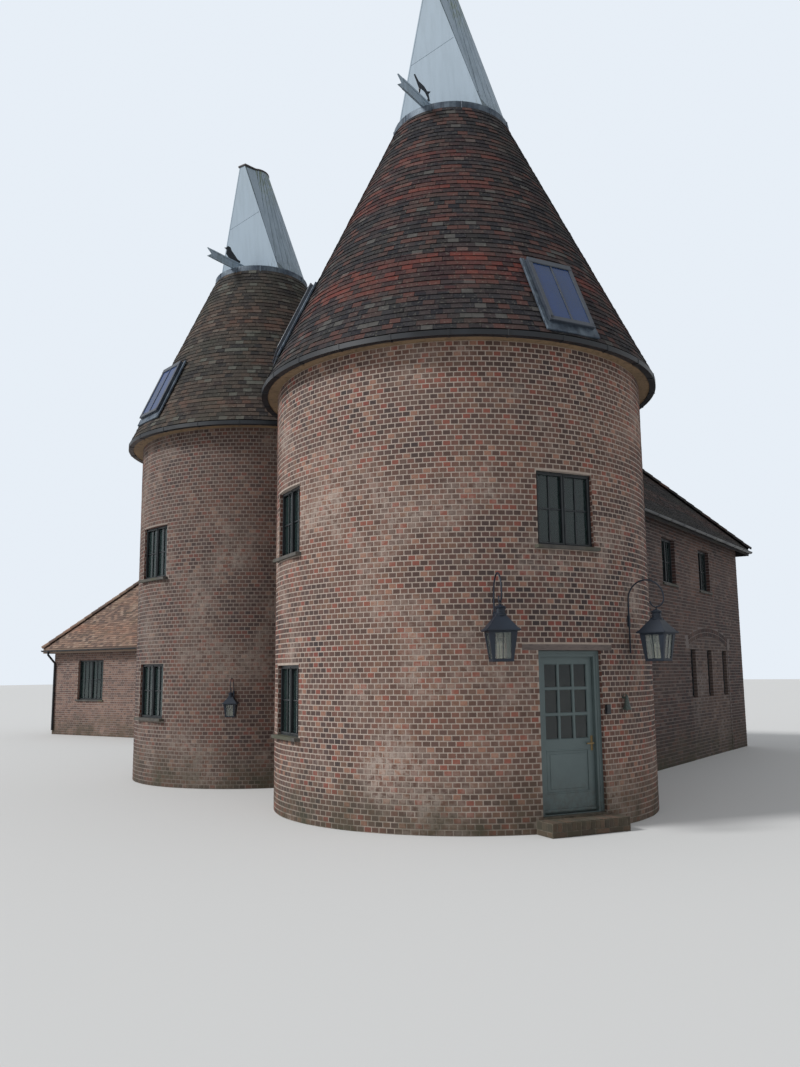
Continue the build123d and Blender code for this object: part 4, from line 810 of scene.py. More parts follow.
# The barn tile colours are darkened partly as painted shade.
DARK_CLAY_AND_SHADE = [(0.0, rgb(34, 33, 36)), (0.25, rgb(42, 39, 41)), (0.5, rgb(28, 28, 32)), (0.72, rgb(50, 46, 46)), (0.9, rgb(39, 38, 41))]
PALE_CLAY = [(0.0, rgb(124, 102, 90)), (0.22, rgb(106, 88, 80)), (0.45, rgb(136, 112, 98)), (0.68, rgb(94, 80, 74)), (0.86, rgb(144, 124, 110))]
barn_tile = tile_material("barn_tile", DARK_CLAY_AND_SHADE, rgb(86, 58, 50), rgb(70, 70, 56), 6.0, 8.5, 0.45)
wing_tile = tile_material("wing_tile", PALE_CLAY, rgb(150, 108, 88), rgb(116, 104, 82), 3.5, 6.0, 0.35)
wear(barn_tiles, barn_tile)
wear(wing_tiles, wing_tile)
wear(nodes["barn_roof"], barn_tile)
wear(nodes["wing_roof"], wing_tile)

RIDGE_RADIUS = 0.115
RIDGE_LENGTH = 0.3
RIDGE_THICK = 0.014
bpy.ops.object.select_all(action="DESELECT")
bpy.ops.mesh.primitive_cylinder_add(vertices=14, radius=RIDGE_RADIUS, depth=RIDGE_LENGTH + 0.03, end_fill_type="NOTHING", rotation=(0, math.pi / 2, 0))
bpy.ops.object.transform_apply(location=False, rotation=True, scale=False)
ridge_model = bpy.context.object
bpy.ops.object.mode_set(mode="EDIT")
bpy.ops.mesh.select_all(action="SELECT")
bpy.ops.mesh.bisect(plane_co=(0, 0, 0.012), plane_no=(0, 0, 1), clear_inner=True)
bpy.ops.object.mode_set(mode="OBJECT")
solid = ridge_model.modifiers.new("thickness", "SOLIDIFY")
solid.thickness = RIDGE_THICK
solid.offset = -1
bpy.ops.object.modifier_apply(modifier="thickness")
ridge_points = np.array([tuple(vertex.co) for vertex in ridge_model.data.vertices])
ridge_faces = [tuple(face.vertices) for face in ridge_model.data.polygons]
bpy.data.objects.remove(ridge_model)


def capping(name, lines, seed):
    """Half-round tiles laid end over end along each line (start, end), tilted a little so that each covers the next."""
    chance = random.Random(seed)
    points, faces = [], []
    for start, end in lines:
        start, end = Vector(start), Vector(end)
        way = (end - start).normalized()
        side = Vector((0, 0, 1)).cross(way).normalized()
        up = way.cross(side)
        count = max(1, round((end - start).length / RIDGE_LENGTH))
        for place in range(count):
            middle = start + (end - start) * (place + 0.5) / count
            turn = Matrix((way, side, up)).transposed().to_4x4()
            turn = Matrix.Translation(middle) @ turn @ Matrix.Rotation(math.radians(2.6), 4, "Y") @ Matrix.Rotation(chance.uniform(-0.02, 0.02), 4, "Z")
            first = len(points)
            points += [turn @ Vector(point) for point in ridge_points]
            faces += [tuple(first + corner for corner in face) for face in ridge_faces]
    return mesh_piece(name, [tuple(point) for point in points], faces)


x0, x1, y0, y1, level, rise, eaves = roof_lines(BARN)
half = (x1 - x0) / 2
peak = eaves + half * math.tan(math.radians(BARN["pitch"]))
near, far = (x0 + half, y0 + half, peak), (x0 + half, y1 - half, peak)
hip_left = (-4.62, 5.33, eaves + (5.33 - y0) * math.tan(math.radians(BARN["pitch"])))
hip_right = (x1 - 0.6, y0 + 0.6, eaves + 0.6 * math.tan(math.radians(BARN["pitch"])))
barn_capping = capping("barn_hip_tiles", [((x1, y1, eaves), far), ((x0, y1, eaves), far), (hip_left, near), (hip_right, near), (near, far)], 71)
x0, x1, y0, y1, level, rise, eaves = roof_lines(WING)
half = (y1 - y0) / 2
peak = eaves + half * math.tan(math.radians(WING["pitch"]))
start = (x0 + half, y0 + half, peak)
end = (BARN["x0"] - OVERHANG + (peak - BARN["eaves"]) / math.tan(math.radians(BARN["pitch"])), y0 + half, peak)
wing_capping = capping("wing_hip_tiles", [((x0, y0, eaves), start), ((x0, y1, eaves), start), (start, end)], 72)
for piece, finish, slot in ((barn_capping, barn_tile, "barn_tile"), (wing_capping, wing_tile, "wing_tile")):
    wear(piece, finish)

# Casements: black-painted softwood frames in the masonry, two lights each, with slim glazing bars planted on the glass.
# The three slots of the arch have one light each, crossed by two bars.
MEMBER = 0.05
FRAME_DEPTH = 0.07
SETBACK = 0.09
BAR = 0.02


def kiln_place(name, angle):
    """Frame of a piece on a round wall: x along the wall, y into it, the wall's face at y = 0."""
    kiln = KILNS[name]
    turn = Matrix.Rotation(math.radians(angle), 4, "Z")
    return Matrix.Translation((kiln["x"], kiln["y"], 0)) @ turn @ Matrix.Translation((0, -kiln["radius"], 0))


def wall_place(x, y, degrees):
    return Matrix.Translation((x, y, 0)) @ Matrix.Rotation(math.radians(degrees), 4, "Z")


def model_block(size, chamfer):
    """A unit block with chamfered edges, modelled once: its points for a block of this size, and its faces."""
    bpy.ops.object.select_all(action="DESELECT")
    bpy.ops.mesh.primitive_cube_add(size=1)
    model = bpy.context.object
    model.scale = size
    bpy.ops.object.transform_apply(location=False, rotation=False, scale=True)
    bevel = model.modifiers.new("arris", "BEVEL")
    bevel.width = chamfer
    bevel.segments = 1
    bpy.ops.object.modifier_apply(modifier="arris")
    points = [Vector(vertex.co) for vertex in model.data.vertices]
    faces = [tuple(face.vertices) for face in model.data.polygons]
    bpy.data.objects.remove(model)
    return points, faces


class Joinery:
    """Collects chamfered blocks, and turns them into one piece."""

    def __init__(self):
        self.points, self.faces = [], []

    def block(self, place, low, high, chamfer=0.002):
        size = [high[axis] - low[axis] for axis in range(3)]
        middle = Vector([(high[axis] + low[axis]) / 2 for axis in range(3)])
        points, faces = model_block(size, min(chamfer, min(size) / 3))
        self.add(place @ Matrix.Translation(middle), points, faces)

    def add(self, place, points, faces):
        first = len(self.points)
        self.points += [tuple(place @ Vector(point)) for point in points]
        self.faces += [tuple(first + corner for corner in face) for face in faces]

    def piece(self, name):
        return mesh_piece(name, self.points, self.faces)


bars = Joinery()
kiln_spots = [(kiln_place(name, angle), CASEMENT, CASEMENT_HEIGHT, foot) for name in KILNS for angle, foot in KILN_WINDOWS[name]]
barn_spots = [(wall_place(BARN["x1"], along, 90), CASEMENT, CASEMENT_HEIGHT, UPPER_SILL) for along in BARN_WINDOWS["right"]]
barn_spots += [(wall_place(BARN["x0"], along, -90), CASEMENT, CASEMENT_HEIGHT, UPPER_SILL) for along in BARN_WINDOWS["left"]]
for foot in (LOWER_SILL, UPPER_SILL):
    barn_spots += [(wall_place(across, BARN["y1"], 180), CASEMENT, CASEMENT_HEIGHT, foot) for across in BARN_WINDOWS["back"]]
wing_spots = []
for across in WING_WINDOWS:
    wing_spots.append((wall_place(across, WING["y0"], 0), WING_WINDOW, WING_WINDOW, WING_SILL))
    wing_spots.append((wall_place(across, WING["y1"], 180), WING_WINDOW, WING_WINDOW, WING_SILL))
glass_face = SETBACK + FRAME_DEPTH / 2
for place, width, height, foot in kiln_spots + barn_spots + wing_spots:
    light = (width - 3 * MEMBER) / 2
    low, high = foot + MEMBER, foot + height - MEMBER
    for left in (-width / 2 + MEMBER, MEMBER / 2):
        right = left + light
        columns = 2 if width < 1.2 else 3
        for column in range(1, columns):
            x = left + light * column / columns
            bars.block(place, (x - BAR / 2, glass_face - 0.02, low), (x + BAR / 2, glass_face + 0.02, high))
        middle = (low + high) / 2
        bars.block(place, (left, glass_face - 0.018, middle - BAR / 2), (right, glass_face + 0.018, middle + BAR / 2))
        for side in (left - 0.012, right - 0.006):
            bars.block(place, (side, SETBACK - 0.012, low - 0.02), (side + 0.018, SETBACK + 0.004, high + 0.02))
        for level in (low - 0.02, high + 0.002):
            bars.block(place, (left - 0.012, SETBACK - 0.012, level), (right + 0.012, SETBACK + 0.004, level + 0.018))
for offset in SLOT_OFFSETS:
    place = wall_place(BARN["x1"], ARCH_CENTRE + offset, 90)
    half = SLOT_WIDTH / 2 - MEMBER
    for part in (1, 2):
        level = SLOT_FOOT + SLOT_HEIGHT * part / 3
        bars.block(place, (-half, glass_face - 0.018, level - BAR / 2), (half, glass_face + 0.018, level + BAR / 2))
glazing_bars = bars.piece("glazing_bars")

# Window fittings: a bright peg stay at the foot of one light in each kiln casement, seen from outside as a pale fleck.
stays = Joinery()
for place, width, height, foot in kiln_spots:
    stays.block(place, (-0.16, glass_face + 0.03, foot + 0.09), (-0.05, glass_face + 0.042, foot + 0.105))
    stays.block(place, (-0.115, glass_face + 0.018, foot + 0.3), (-0.085, glass_face + 0.045, foot + 0.38))
stay_piece = stays.piece("window_stays")


def painted(name, colour, worn, rough, coat=0.0, grain=0.0):
    """Paint on timber or metal: slight fading in clouds, specks of dust, and brush or roller marks."""
    material, tree, shader, here = shade(name, Roughness=rough, Coat_Weight=coat)
    fade = use(tree, clouds, Vector=here, Scale=2.4, Low=0.35, High=0.75)["Mask"]
    base = blend(tree, fade, colour, blend(tree, 0.45, colour, worn))
    specks = use(tree, clouds, Vector=here, Scale=38.0, Low=0.6, High=0.72)["Mask"]
    base = blend(tree, specks, base, blend(tree, 0.35, base, worn))
    tree.links.new(base, shader.inputs["Base Color"])
    rough_map = put(tree, "MapRange", Value=fade, To_Min=rough - 0.06, To_Max=min(rough + 0.14, 1.0))
    tree.links.new(rough_map.outputs["Result"], shader.inputs["Roughness"])
    stretched = here
    if grain:
        stretched = put(tree, "VectorMath", {"operation": "MULTIPLY"}, in0=here, in1=(1, 1, 0.06)).outputs[0]
    tree.links.new(use(tree, pits, Vector=stretched, Scale=110.0, Depth=0.0012 + grain)["Normal"], shader.inputs["Normal"])
    return material


black_timber = painted("black_timber", rgb(20, 26, 30), rgb(58, 64, 68), 0.42, 0.15, 0.001)
wear(glazing_bars, black_timber)
wear(nodes["window_frames"], black_timber)
brass = painted("worn_brass", rgb(138, 118, 84), rgb(88, 76, 58), 0.4)
brass.node_tree.nodes["Principled BSDF"].inputs["Metallic"].default_value = 0.9
wear(stay_piece, brass)

# Glass: thin sheets with slight waves. The base colours are painted light: painted shade of the unlit rooms behind,
# with a faint green cast on the windows that is partly painted sky reflection.


def glass_material(name, shade_and_reflection_tint, clear, rough, coat=0.6):
    """Window glass: mostly a dark reflection, its base colour painted shade and painted reflection, with part of the
    light let through.
    """
    material, tree, shader, here = shade(name, Roughness=rough, Coat_Weight=coat, Coat_Roughness=0.03)
    shader.inputs["IOR"].default_value = 1.5
    cloud = use(tree, clouds, Vector=here, Scale=1.4, Low=0.3, High=0.75)["Mask"]
    base = blend(tree, cloud, shade_and_reflection_tint, blend(tree, 0.5, shade_and_reflection_tint, rgb(44, 58, 54)))
    tree.links.new(base, shader.inputs["Base Color"])
    shader.inputs["Alpha"].default_value = clear
    tree.links.new(use(tree, pits, Vector=here, Scale=2.0, Depth=0.004)["Normal"], shader.inputs["Normal"])
    return material


window_glass = glass_material("window_glass", rgb(40, 54, 54), 0.7, 0.06)
wear(nodes["window_glass"], window_glass)
# The roof glass's deep blue is a painted reflection of the sky.
roof_glass = glass_material("roof_glass", rgb(18, 56, 112), 0.94, 0.16, 0.1)
wear(nodes["skylight_glass"], roof_glass)
door_glass = glass_material("door_glass", rgb(24, 30, 34), 0.6, 0.05)
wear(nodes["door_glass"], door_glass)
lamp_glass = glass_material("lamp_glass", rgb(150, 158, 152), 0.3, 0.08)
wear(nodes["lantern_glass"], lamp_glass)

# Sills: worn stone slabs under every casement, each bedded on the wall with a nose that throws the rain clear.
stone, tree, shader, here = shade("sill_stone", Roughness=0.8)
veins = use(tree, clouds, Vector=here, Scale=7.0, Low=0.3, High=0.7)["Mask"]
base = blend(tree, veins, rgb(92, 88, 82), rgb(58, 56, 54))
damp = use(tree, clouds, Vector=here, Scale=2.0, Low=0.5, High=0.66)["Mask"]
base = blend(tree, damp, base, rgb(74, 74, 58))
tree.links.new(base, shader.inputs["Base Color"])
tree.links.new(use(tree, pits, Vector=here, Scale=50.0, Depth=0.004)["Normal"], shader.inputs["Normal"])
wear(nodes["wall_window_sills"], stone)
wear(nodes["kiln_window_sills"], stone)

# Roof windows: dark grey metal frames with one slim bar down the middle, a lead apron at the foot and flashings at the sides.
SKYLIGHT_MEMBER = 0.06
SKYLIGHT_PROUD = 0.08


def skylight_place(name, angle, level):
    """Frame of a roof window: x along the eaves, y up the slope, z out of the roof."""
    kiln = KILNS[name]
    run, rise = kiln["foot"] - CURB_RADIUS, kiln["curb"] - kiln["eaves"]
    radius = CURB_RADIUS + (kiln["curb"] - level) * run / rise
    lean = math.atan2(rise, run)
    turn = Matrix.Rotation(math.radians(angle), 4, "Z")
    tilt = Matrix.Rotation(lean, 4, "X")
    return Matrix.Translation((kiln["x"], kiln["y"], 0)) @ turn @ Matrix.Translation((0, -radius, level)) @ tilt


trims, aprons = Joinery(), Joinery()
for name in KILNS:
    for angle, level in SKYLIGHTS[name]:
        place = skylight_place(name, angle, level)
        wide, long = SKYLIGHT_WIDTH / 2, SKYLIGHT_LENGTH / 2
        inner = long - SKYLIGHT_MEMBER
        trims.block(place, (-0.014, -inner, 0.056), (0.014, inner, SKYLIGHT_PROUD + 0.004))
        trims.block(place, (-wide - 0.004, long - SKYLIGHT_MEMBER - 0.03, SKYLIGHT_PROUD - 0.02), (wide + 0.004, long + 0.012, SKYLIGHT_PROUD + 0.014), 0.008)
        trims.block(place, (-wide - 0.004, -long - 0.008, SKYLIGHT_PROUD - 0.02), (wide + 0.004, -long + SKYLIGHT_MEMBER + 0.008, SKYLIGHT_PROUD + 0.008), 0.006)
        for side in (-1, 1):
            edges = sorted((side * (wide + 0.006), side * (wide - SKYLIGHT_MEMBER - 0.006)))
            trims.block(place, (edges[0], -long, SKYLIGHT_PROUD - 0.02), (edges[1], long, SKYLIGHT_PROUD + 0.008), 0.006)
            edges = sorted((side * wide, side * (wide + 0.07)))
            aprons.block(place, (edges[0], -long - 0.02, -0.01), (edges[1], long + 0.04, 0.026), 0.006)
        aprons.block(place, (-wide - 0.07, -long - 0.15, -0.005), (wide + 0.07, -long + 0.01, 0.03), 0.006)
skylight_trim = trims.piece("skylight_trim")
skylight_apron = aprons.piece("skylight_flashing")
grey_metal = painted("roof_window_metal", rgb(36, 44, 56), rgb(86, 94, 104), 0.4, 0.2)
wear(skylight_trim, grey_metal)
wear(nodes["skylight_frames"], grey_metal)

# Lead: dull blue-grey sheet, dressed by hand over the curbs and round the roof windows, with pale oxide bloom.
lead, tree, shader, here = shade("lead", Roughness=0.55, Metallic=0.35)
bloom = use(tree, clouds, Vector=here, Scale=5.0, Low=0.4, High=0.7)["Mask"]
base = blend(tree, bloom, rgb(62, 74, 88), rgb(104, 116, 126))
streak_place = put(tree, "VectorMath", {"operation": "MULTIPLY"}, in0=here, in1=(14, 14, 1.2)).outputs[0]
streak = use(tree, clouds, Vector=streak_place, Scale=1.0, Low=0.5, High=0.7)["Mask"]
base = blend(tree, streak, base, rgb(44, 52, 62))
tree.links.new(base, shader.inputs["Base Color"])
tree.links.new(use(tree, pits, Vector=here, Scale=22.0, Depth=0.01)["Normal"], shader.inputs["Normal"])
wear(skylight_apron, lead)
wear(nodes["kiln_curbs"], lead)
rolls = Joinery()
for name, kiln in KILNS.items():
    for number in range(12):
        place = Matrix.Translation((kiln["x"], kiln["y"], kiln["curb"])) @ Matrix.Rotation(math.radians(30 * number + 11), 4, "Z")
        rolls.block(place, (-0.016, -CURB_RADIUS - 0.012, -0.03), (0.016, -CURB_RADIUS + 0.01, 0.112), 0.008)
curb_rolls = rolls.piece("curb_lead_rolls")
wear(curb_rolls, lead)

# Gutters: black iron, a box-section ring round each kiln and half-round runs on the straight eaves, held by iron straps.
GUTTER_RADIUS = 0.055
RING_GUTTER = 0.1
straps = Joinery()
for name, kiln in KILNS.items():
    inner = kiln["foot"] - 0.075
    number = round(2 * math.pi * inner / 0.8)
    high = kiln["eaves"] - 0.016
    for step in range(number):
        place = Matrix.Translation((kiln["x"], kiln["y"], 0)) @ Matrix.Rotation(2 * math.pi * step / number, 4, "Z")
        straps.block(place, (-0.015, -inner - RING_GUTTER - 0.006, high - 0.083), (0.015, -inner - RING_GUTTER + 0.002, high + 0.004))
        straps.block(place, (-0.015, -inner - RING_GUTTER - 0.002, high - 0.083), (0.015, -inner + 0.002, high - 0.074))


def strap_run(start, way, length, level):
    """Straps under a straight gutter, each bent round it in four short flats."""
    start, way = Vector(start), Vector(way)
    number = round(length / 0.9)
    for step in range(number + 1):
        spot = start + way * (0.05 + (length - 0.1) * step / number)
        place = Matrix.Translation((spot.x, spot.y, level)) @ Matrix.Rotation(math.atan2(way.y, way.x), 4, "Z")
        for part in range(4):
            angle = math.pi * (part + 0.5) / 4
            turn = Matrix.Translation((0, -GUTTER_RADIUS, 0)) @ Matrix.Rotation(-angle, 4, "X") @ Matrix.Translation((0, GUTTER_RADIUS, 0))
            straps.block(place @ turn, (-0.012, -0.002, -0.023), (0.012, 0.004, 0.023), 0.001)


right_edge, back_edge = BARN["x1"] + OVERHANG, BARN["y1"] + OVERHANG
strap_run((right_edge, BARN["y0"] + OVERHANG, 0), (0, 1, 0), back_edge - BARN["y0"] - OVERHANG, BARN["eaves"] - 0.06)
strap_run((right_edge, back_edge, 0), (-1, 0, 0), right_edge - BARN["x0"] + OVERHANG, BARN["eaves"] - 0.06)
wing_edge = WING["x0"] - OVERHANG
strap_run((wing_edge, WING["y0"] - OVERHANG, 0), (1, 0, 0), BARN["x0"] - OVERHANG - wing_edge, WING["eaves"] - 0.06)
strap_run((BARN["x0"] - OVERHANG, WING["y1"] + OVERHANG, 0), (-1, 0, 0), BARN["x0"] - OVERHANG - wing_edge, WING["eaves"] - 0.06)
gutter_straps = straps.piece("gutter_straps")
black_iron = painted("black_iron", rgb(11, 15, 20), rgb(34, 42, 52), 0.45, 0.12)
wear(gutter_straps, black_iron)
for node in ("kiln_gutters", "gutters", "wing_downpipe"):
    wear(nodes[node], black_iron)

# Eaves and inner timbers: sawn boards round the kiln heads, cross beams, cowl posts and floor boards, all bare and aged.


def timber_material(name, fresh, aged, stretch, board=0.0):
    """Sawn timber: long grain along one way, darker patches, and board joints where board gives their width."""
    material, tree, shader, here = shade(name, Roughness=0.82)
    along = put(tree, "VectorMath", {"operation": "MULTIPLY"}, in0=here, in1=stretch).outputs[0]
    grain = put(tree, "TexNoise", Vector=along, Scale=9.0, Detail=8.0, Roughness=0.7, Distortion=0.4)
    base = ramp(tree, grain.outputs["Fac"], [(0.3, aged), (0.52, fresh), (0.72, blend_colour(aged, fresh))])
    patch = use(tree, clouds, Vector=here, Scale=1.6, Low=0.4, High=0.7)["Mask"]
    base = blend(tree, patch, base, blend(tree, 0.4, base, aged))
    height = grain.outputs["Fac"]
    if board:
        place = put(tree, "SeparateXYZ", Vector=here).outputs["X"]
        row = put(tree, "Math", {"operation": "PINGPONG"}, in0=place, in1=board / 2).outputs[0]
        joint = compare(tree, row, 0.003, "LESS_THAN")
        base = blend(tree, joint, base, rgb(30, 24, 20))
    tree.links.new(base, shader.inputs["Base Color"])
    bump = put(tree, "Bump", Strength=0.5, Distance=0.004, Height=height)
    tree.links.new(bump.outputs["Normal"], shader.inputs["Normal"])
    return material


def blend_colour(first, second, part=0.5):
    return [a * (1 - part) + b * part for a, b in zip(first, second)]


eaves_timber = timber_material("eaves_timber", rgb(140, 116, 88), rgb(84, 68, 52), (1.0, 1.0, 6.0))
wear(nodes["kiln_eaves"], eaves_timber)
beam_timber = timber_material("beam_timber", rgb(122, 98, 70), rgb(70, 54, 40), (0.6, 6.0, 6.0))
wear(nodes["kiln_cross_beams"], beam_timber)
post_timber = timber_material("post_timber", rgb(122, 98, 70), rgb(70, 54, 40), (6.0, 6.0, 0.6))
for node in ("main_cowl_post", "left_cowl_post"):
    wear(nodes[node], post_timber)
wear(nodes["upper_floors"], timber_material("floor_boards", rgb(150, 116, 78), rgb(96, 70, 46), (6.0, 0.5, 6.0), 0.16))
wear(nodes["door_lintel"], timber_material("weathered_oak", rgb(112, 100, 95), rgb(66, 59, 57), (1.0, 1.0, 9.0)))
slab, tree, shader, here = shade("floor_slab", Roughness=0.85)
trowel = use(tree, clouds, Vector=here, Scale=1.2, Low=0.3, High=0.8)["Mask"]
base = blend(tree, trowel, rgb(168, 162, 152), rgb(138, 132, 124))
tree.links.new(base, shader.inputs["Base Color"])
tree.links.new(use(tree, pits, Vector=here, Scale=40.0, Depth=0.003)["Normal"], shader.inputs["Normal"])
wear(nodes["ground_floors"], slab)

# Entrance: a part-glazed softwood leaf in a rebated frame, painted sage green over old coats.
# Glazing beads hold the panes, a raised moulding frames the panel, and a weather bar throws rain off the foot.
DOOR_ANGLE = 60
LEAF_FACE, LEAF_BACK = -2.874, -2.83
LEAF_EDGE, LEAF_LOW, LEAF_HIGH = 0.448, 0.224, 2.308
PANEL_EDGE, PANEL_LOW, PANEL_HIGH = 0.353, 0.474, 1.054
PANE_WIDE, PANE_TALL, PANE_GAP, PANE_LOW = 0.2167, 0.3193, 0.028, 1.189
door_place = Matrix.Rotation(math.radians(DOOR_ANGLE), 4, "Z")


def moulding(joinery, place, left, right, low, high, face, width, proud):
    """Four chamfered strips round an opening, standing proud of the face."""
    joinery.block(place, (left - width, face - proud, high), (right + width, face, high + width), 0.004)
    joinery.block(place, (left - width, face - proud, low - width), (right + width, face, low), 0.004)
    joinery.block(place, (left - width, face - proud, low), (left, face, high), 0.004)
    joinery.block(place, (right, face - proud, low), (right + width, face, high), 0.004)


leaf_trim = Joinery()
for column in range(3):
    for row in range(3):
        left = -PANEL_EDGE + column * (PANE_WIDE + PANE_GAP)
        low = PANE_LOW + row * (PANE_TALL + PANE_GAP)
        right, high = left + PANE_WIDE, low + PANE_TALL
        for inner_left, inner_right, inner_low, inner_high in (
            (left, left + 0.009, low, high), (right - 0.009, right, low, high),
            (left, right, low, low + 0.009), (left, right, high - 0.009, high),
        ):
            leaf_trim.block(door_place, (inner_left, LEAF_FACE + 0.004, inner_low), (inner_right, LEAF_FACE + 0.016, inner_high), 0.003)
moulding(leaf_trim, door_place, -PANEL_EDGE + 0.022, PANEL_EDGE - 0.022, PANEL_LOW + 0.022, PANEL_HIGH - 0.022, LEAF_FACE + 0.008, 0.022, 0.012)
leaf_trim.block(door_place, (-PANEL_EDGE + 0.06, LEAF_FACE + 0.003, PANEL_LOW + 0.06), (PANEL_EDGE - 0.06, LEAF_FACE + 0.012, PANEL_HIGH - 0.06), 0.006)
leaf_trim.block(door_place, (-LEAF_EDGE + 0.02, LEAF_FACE - 0.028, LEAF_LOW + 0.012), (LEAF_EDGE - 0.02, LEAF_FACE, LEAF_LOW + 0.05), 0.012)
door_mouldings = leaf_trim.piece("door_mouldings")
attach(door_mouldings, "front_door")
frame_trim = Joinery()
for side in (-1, 1):
    edges = sorted((side * 0.478, side * 0.533))
    frame_trim.block(door_place, (edges[0], -2.944, 0.206), (edges[1], -2.926, 2.34), 0.006)
frame_trim.block(door_place, (-0.533, -2.944, 2.338), (0.533, -2.926, 2.382), 0.006)
door_architrave = frame_trim.piece("door_architrave")

sage, tree, shader, here = shade("sage_paint", Roughness=0.5, Coat_Weight=0.12)
fade = use(tree, clouds, Vector=here, Scale=1.7, Low=0.3, High=0.75)["Mask"]
# The sage is darker and bluer than the paint's own colour: painted shade under sky light.
base = blend(tree, fade, rgb(92, 106, 106), rgb(80, 93, 94))
height = put(tree, "SeparateXYZ", Vector=here).outputs["Z"]
low_down = put(tree, "MapRange", Value=height, From_Min=0.2, From_Max=0.75, To_Min=1.0, To_Max=0.0).outputs["Result"]
splash = use(tree, clouds, Vector=here, Scale=16.0, Low=0.42, High=0.7)["Mask"]
splash = put(tree, "Math", {"operation": "MULTIPLY"}, in0=low_down, in1=splash).outputs[0]
base = blend(tree, splash, base, rgb(78, 80, 74))
brushed = put(tree, "VectorMath", {"operation": "MULTIPLY"}, in0=here, in1=(60, 60, 4)).outputs[0]
brush = put(tree, "TexNoise", Vector=brushed, Scale=3.0, Detail=4.0, Roughness=0.6)
rough_map = put(tree, "MapRange", Value=brush.outputs["Fac"], To_Min=0.42, To_Max=0.66)
tree.links.new(rough_map.outputs["Result"], shader.inputs["Roughness"])
tree.links.new(base, shader.inputs["Base Color"])
bump = put(tree, "Bump", Strength=0.25, Distance=0.001, Height=brush.outputs["Fac"])
tree.links.new(bump.outputs["Normal"], shader.inputs["Normal"])
for piece in (door_mouldings, door_architrave, nodes["door_leaf"], nodes["door_frame"], nodes["door_hinge_pins"], nodes["door_hinge_plates"]):
    wear(piece, sage)

# Door furniture: a cast brass plate with a lever, a keyhole escutcheon under it, and the screws that hold them.


def model_turned(profile, sides):
    """A turned shape about Z, spun from points of radius and height: its points and faces."""
    bpy.ops.object.select_all(action="DESELECT")
    bpy.ops.mesh.primitive_plane_add(size=1)
    model = bpy.context.object
    mesh = model.data
    mesh.clear_geometry()
    mesh.from_pydata([(radius, 0, height) for radius, height in profile], [(n, n + 1) for n in range(len(profile) - 1)], [])
    bpy.ops.object.mode_set(mode="EDIT")
    bpy.ops.mesh.select_all(action="SELECT")
    bpy.ops.mesh.spin(steps=sides, angle=2 * math.pi, center=(0, 0, 0), axis=(0, 0, 1))
    bpy.ops.mesh.select_all(action="SELECT")
    bpy.ops.mesh.remove_doubles(threshold=0.00002)
    bpy.ops.mesh.normals_make_consistent(inside=False)
    bpy.ops.object.mode_set(mode="OBJECT")
    points = [Vector(vertex.co) for vertex in mesh.vertices]
    faces = [tuple(face.vertices) for face in mesh.polygons]
    bpy.data.objects.remove(model)
    return points, faces


furniture = Joinery()
handle_x = LEAF_EDGE - 0.0475
screw = model_turned([(0, 0.0028), (0.003, 0.0026), (0.0048, 0), (0, 0)], 10)
ring = model_turned([(0.0145, 0), (0.0145, 0.003), (0.012, 0.006), (0.0098, 0.006), (0.0098, 0)], 20)
outward = Matrix.Rotation(math.radians(90), 4, "X")
for level in (1.12 - 0.085, 1.12 + 0.085):
    furniture.add(door_place @ Matrix.Translation((handle_x, LEAF_FACE - 0.006, level)) @ outward, *screw)
furniture.add(door_place @ Matrix.Translation((handle_x, LEAF_FACE - 0.006, 1.12)) @ outward, *ring)
furniture.block(door_place, (handle_x - 0.009, LEAF_FACE - 0.0085, 1.045), (handle_x + 0.009, LEAF_FACE - 0.005, 1.08), 0.003)
furniture_piece = furniture.piece("door_furniture")
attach(furniture_piece, "front_door")
wear(furniture_piece, brass)
wear(nodes["door_handle"], brass)

# Doorstep: old bricks on edge round a rubble core, the top course worn and dark with damp.


def lay(joinery, place, low, high, rows, along, joint, proud, seed):
    """Bricks laid side by side over a face: rows of height ranges, each brick as long as along says."""
    dice = random.Random(seed)
    for number, (foot, head) in enumerate(rows):
        x = low[0] - (along / 2 if number % 2 else 0)
        while x < high[0] - 0.03:
            start, end = max(x, low[0]), min(x + along, high[0])
            if end - start > 0.03:
                out = proud * dice.uniform(0.4, 1.0)
                joinery.block(place, (start + joint / 2, low[1] - out, foot + joint / 2), (end - joint / 2, high[1], head - joint / 2), 0.006)
            x += along


step_bricks = Joinery()
STEP_HALF, STEP_FRONT, STEP_TOP = 0.625, -3.35, 0.18
rows = [(0.0, 0.07), (0.07, 0.18)]
lay(step_bricks, door_place, (-STEP_HALF, STEP_FRONT), (STEP_HALF, STEP_FRONT + 0.01), [rows[0]], 0.225, 0.012, 0.008, 31)
lay(step_bricks, door_place, (-STEP_HALF, STEP_FRONT), (STEP_HALF, STEP_FRONT + 0.01), [rows[1]], 0.075, 0.01, 0.008, 32)
for side in (-1, 1):
    turned = door_place @ Matrix.Translation((side * STEP_HALF, 0, 0)) @ Matrix.Rotation(math.radians(90 * side), 4, "Z")
    start, end = (STEP_FRONT, -3.0) if side > 0 else (3.0, -STEP_FRONT)
    lay(step_bricks, turned, (start, 0), (end, 0.01), [rows[0]], 0.225, 0.012, 0.006, 33 + side)
    lay(step_bricks, turned, (start, 0), (end, 0.01), [rows[1]], 0.115, 0.01, 0.006, 36 + side)
dice = random.Random(41)
number = round(2 * STEP_HALF / 0.075)
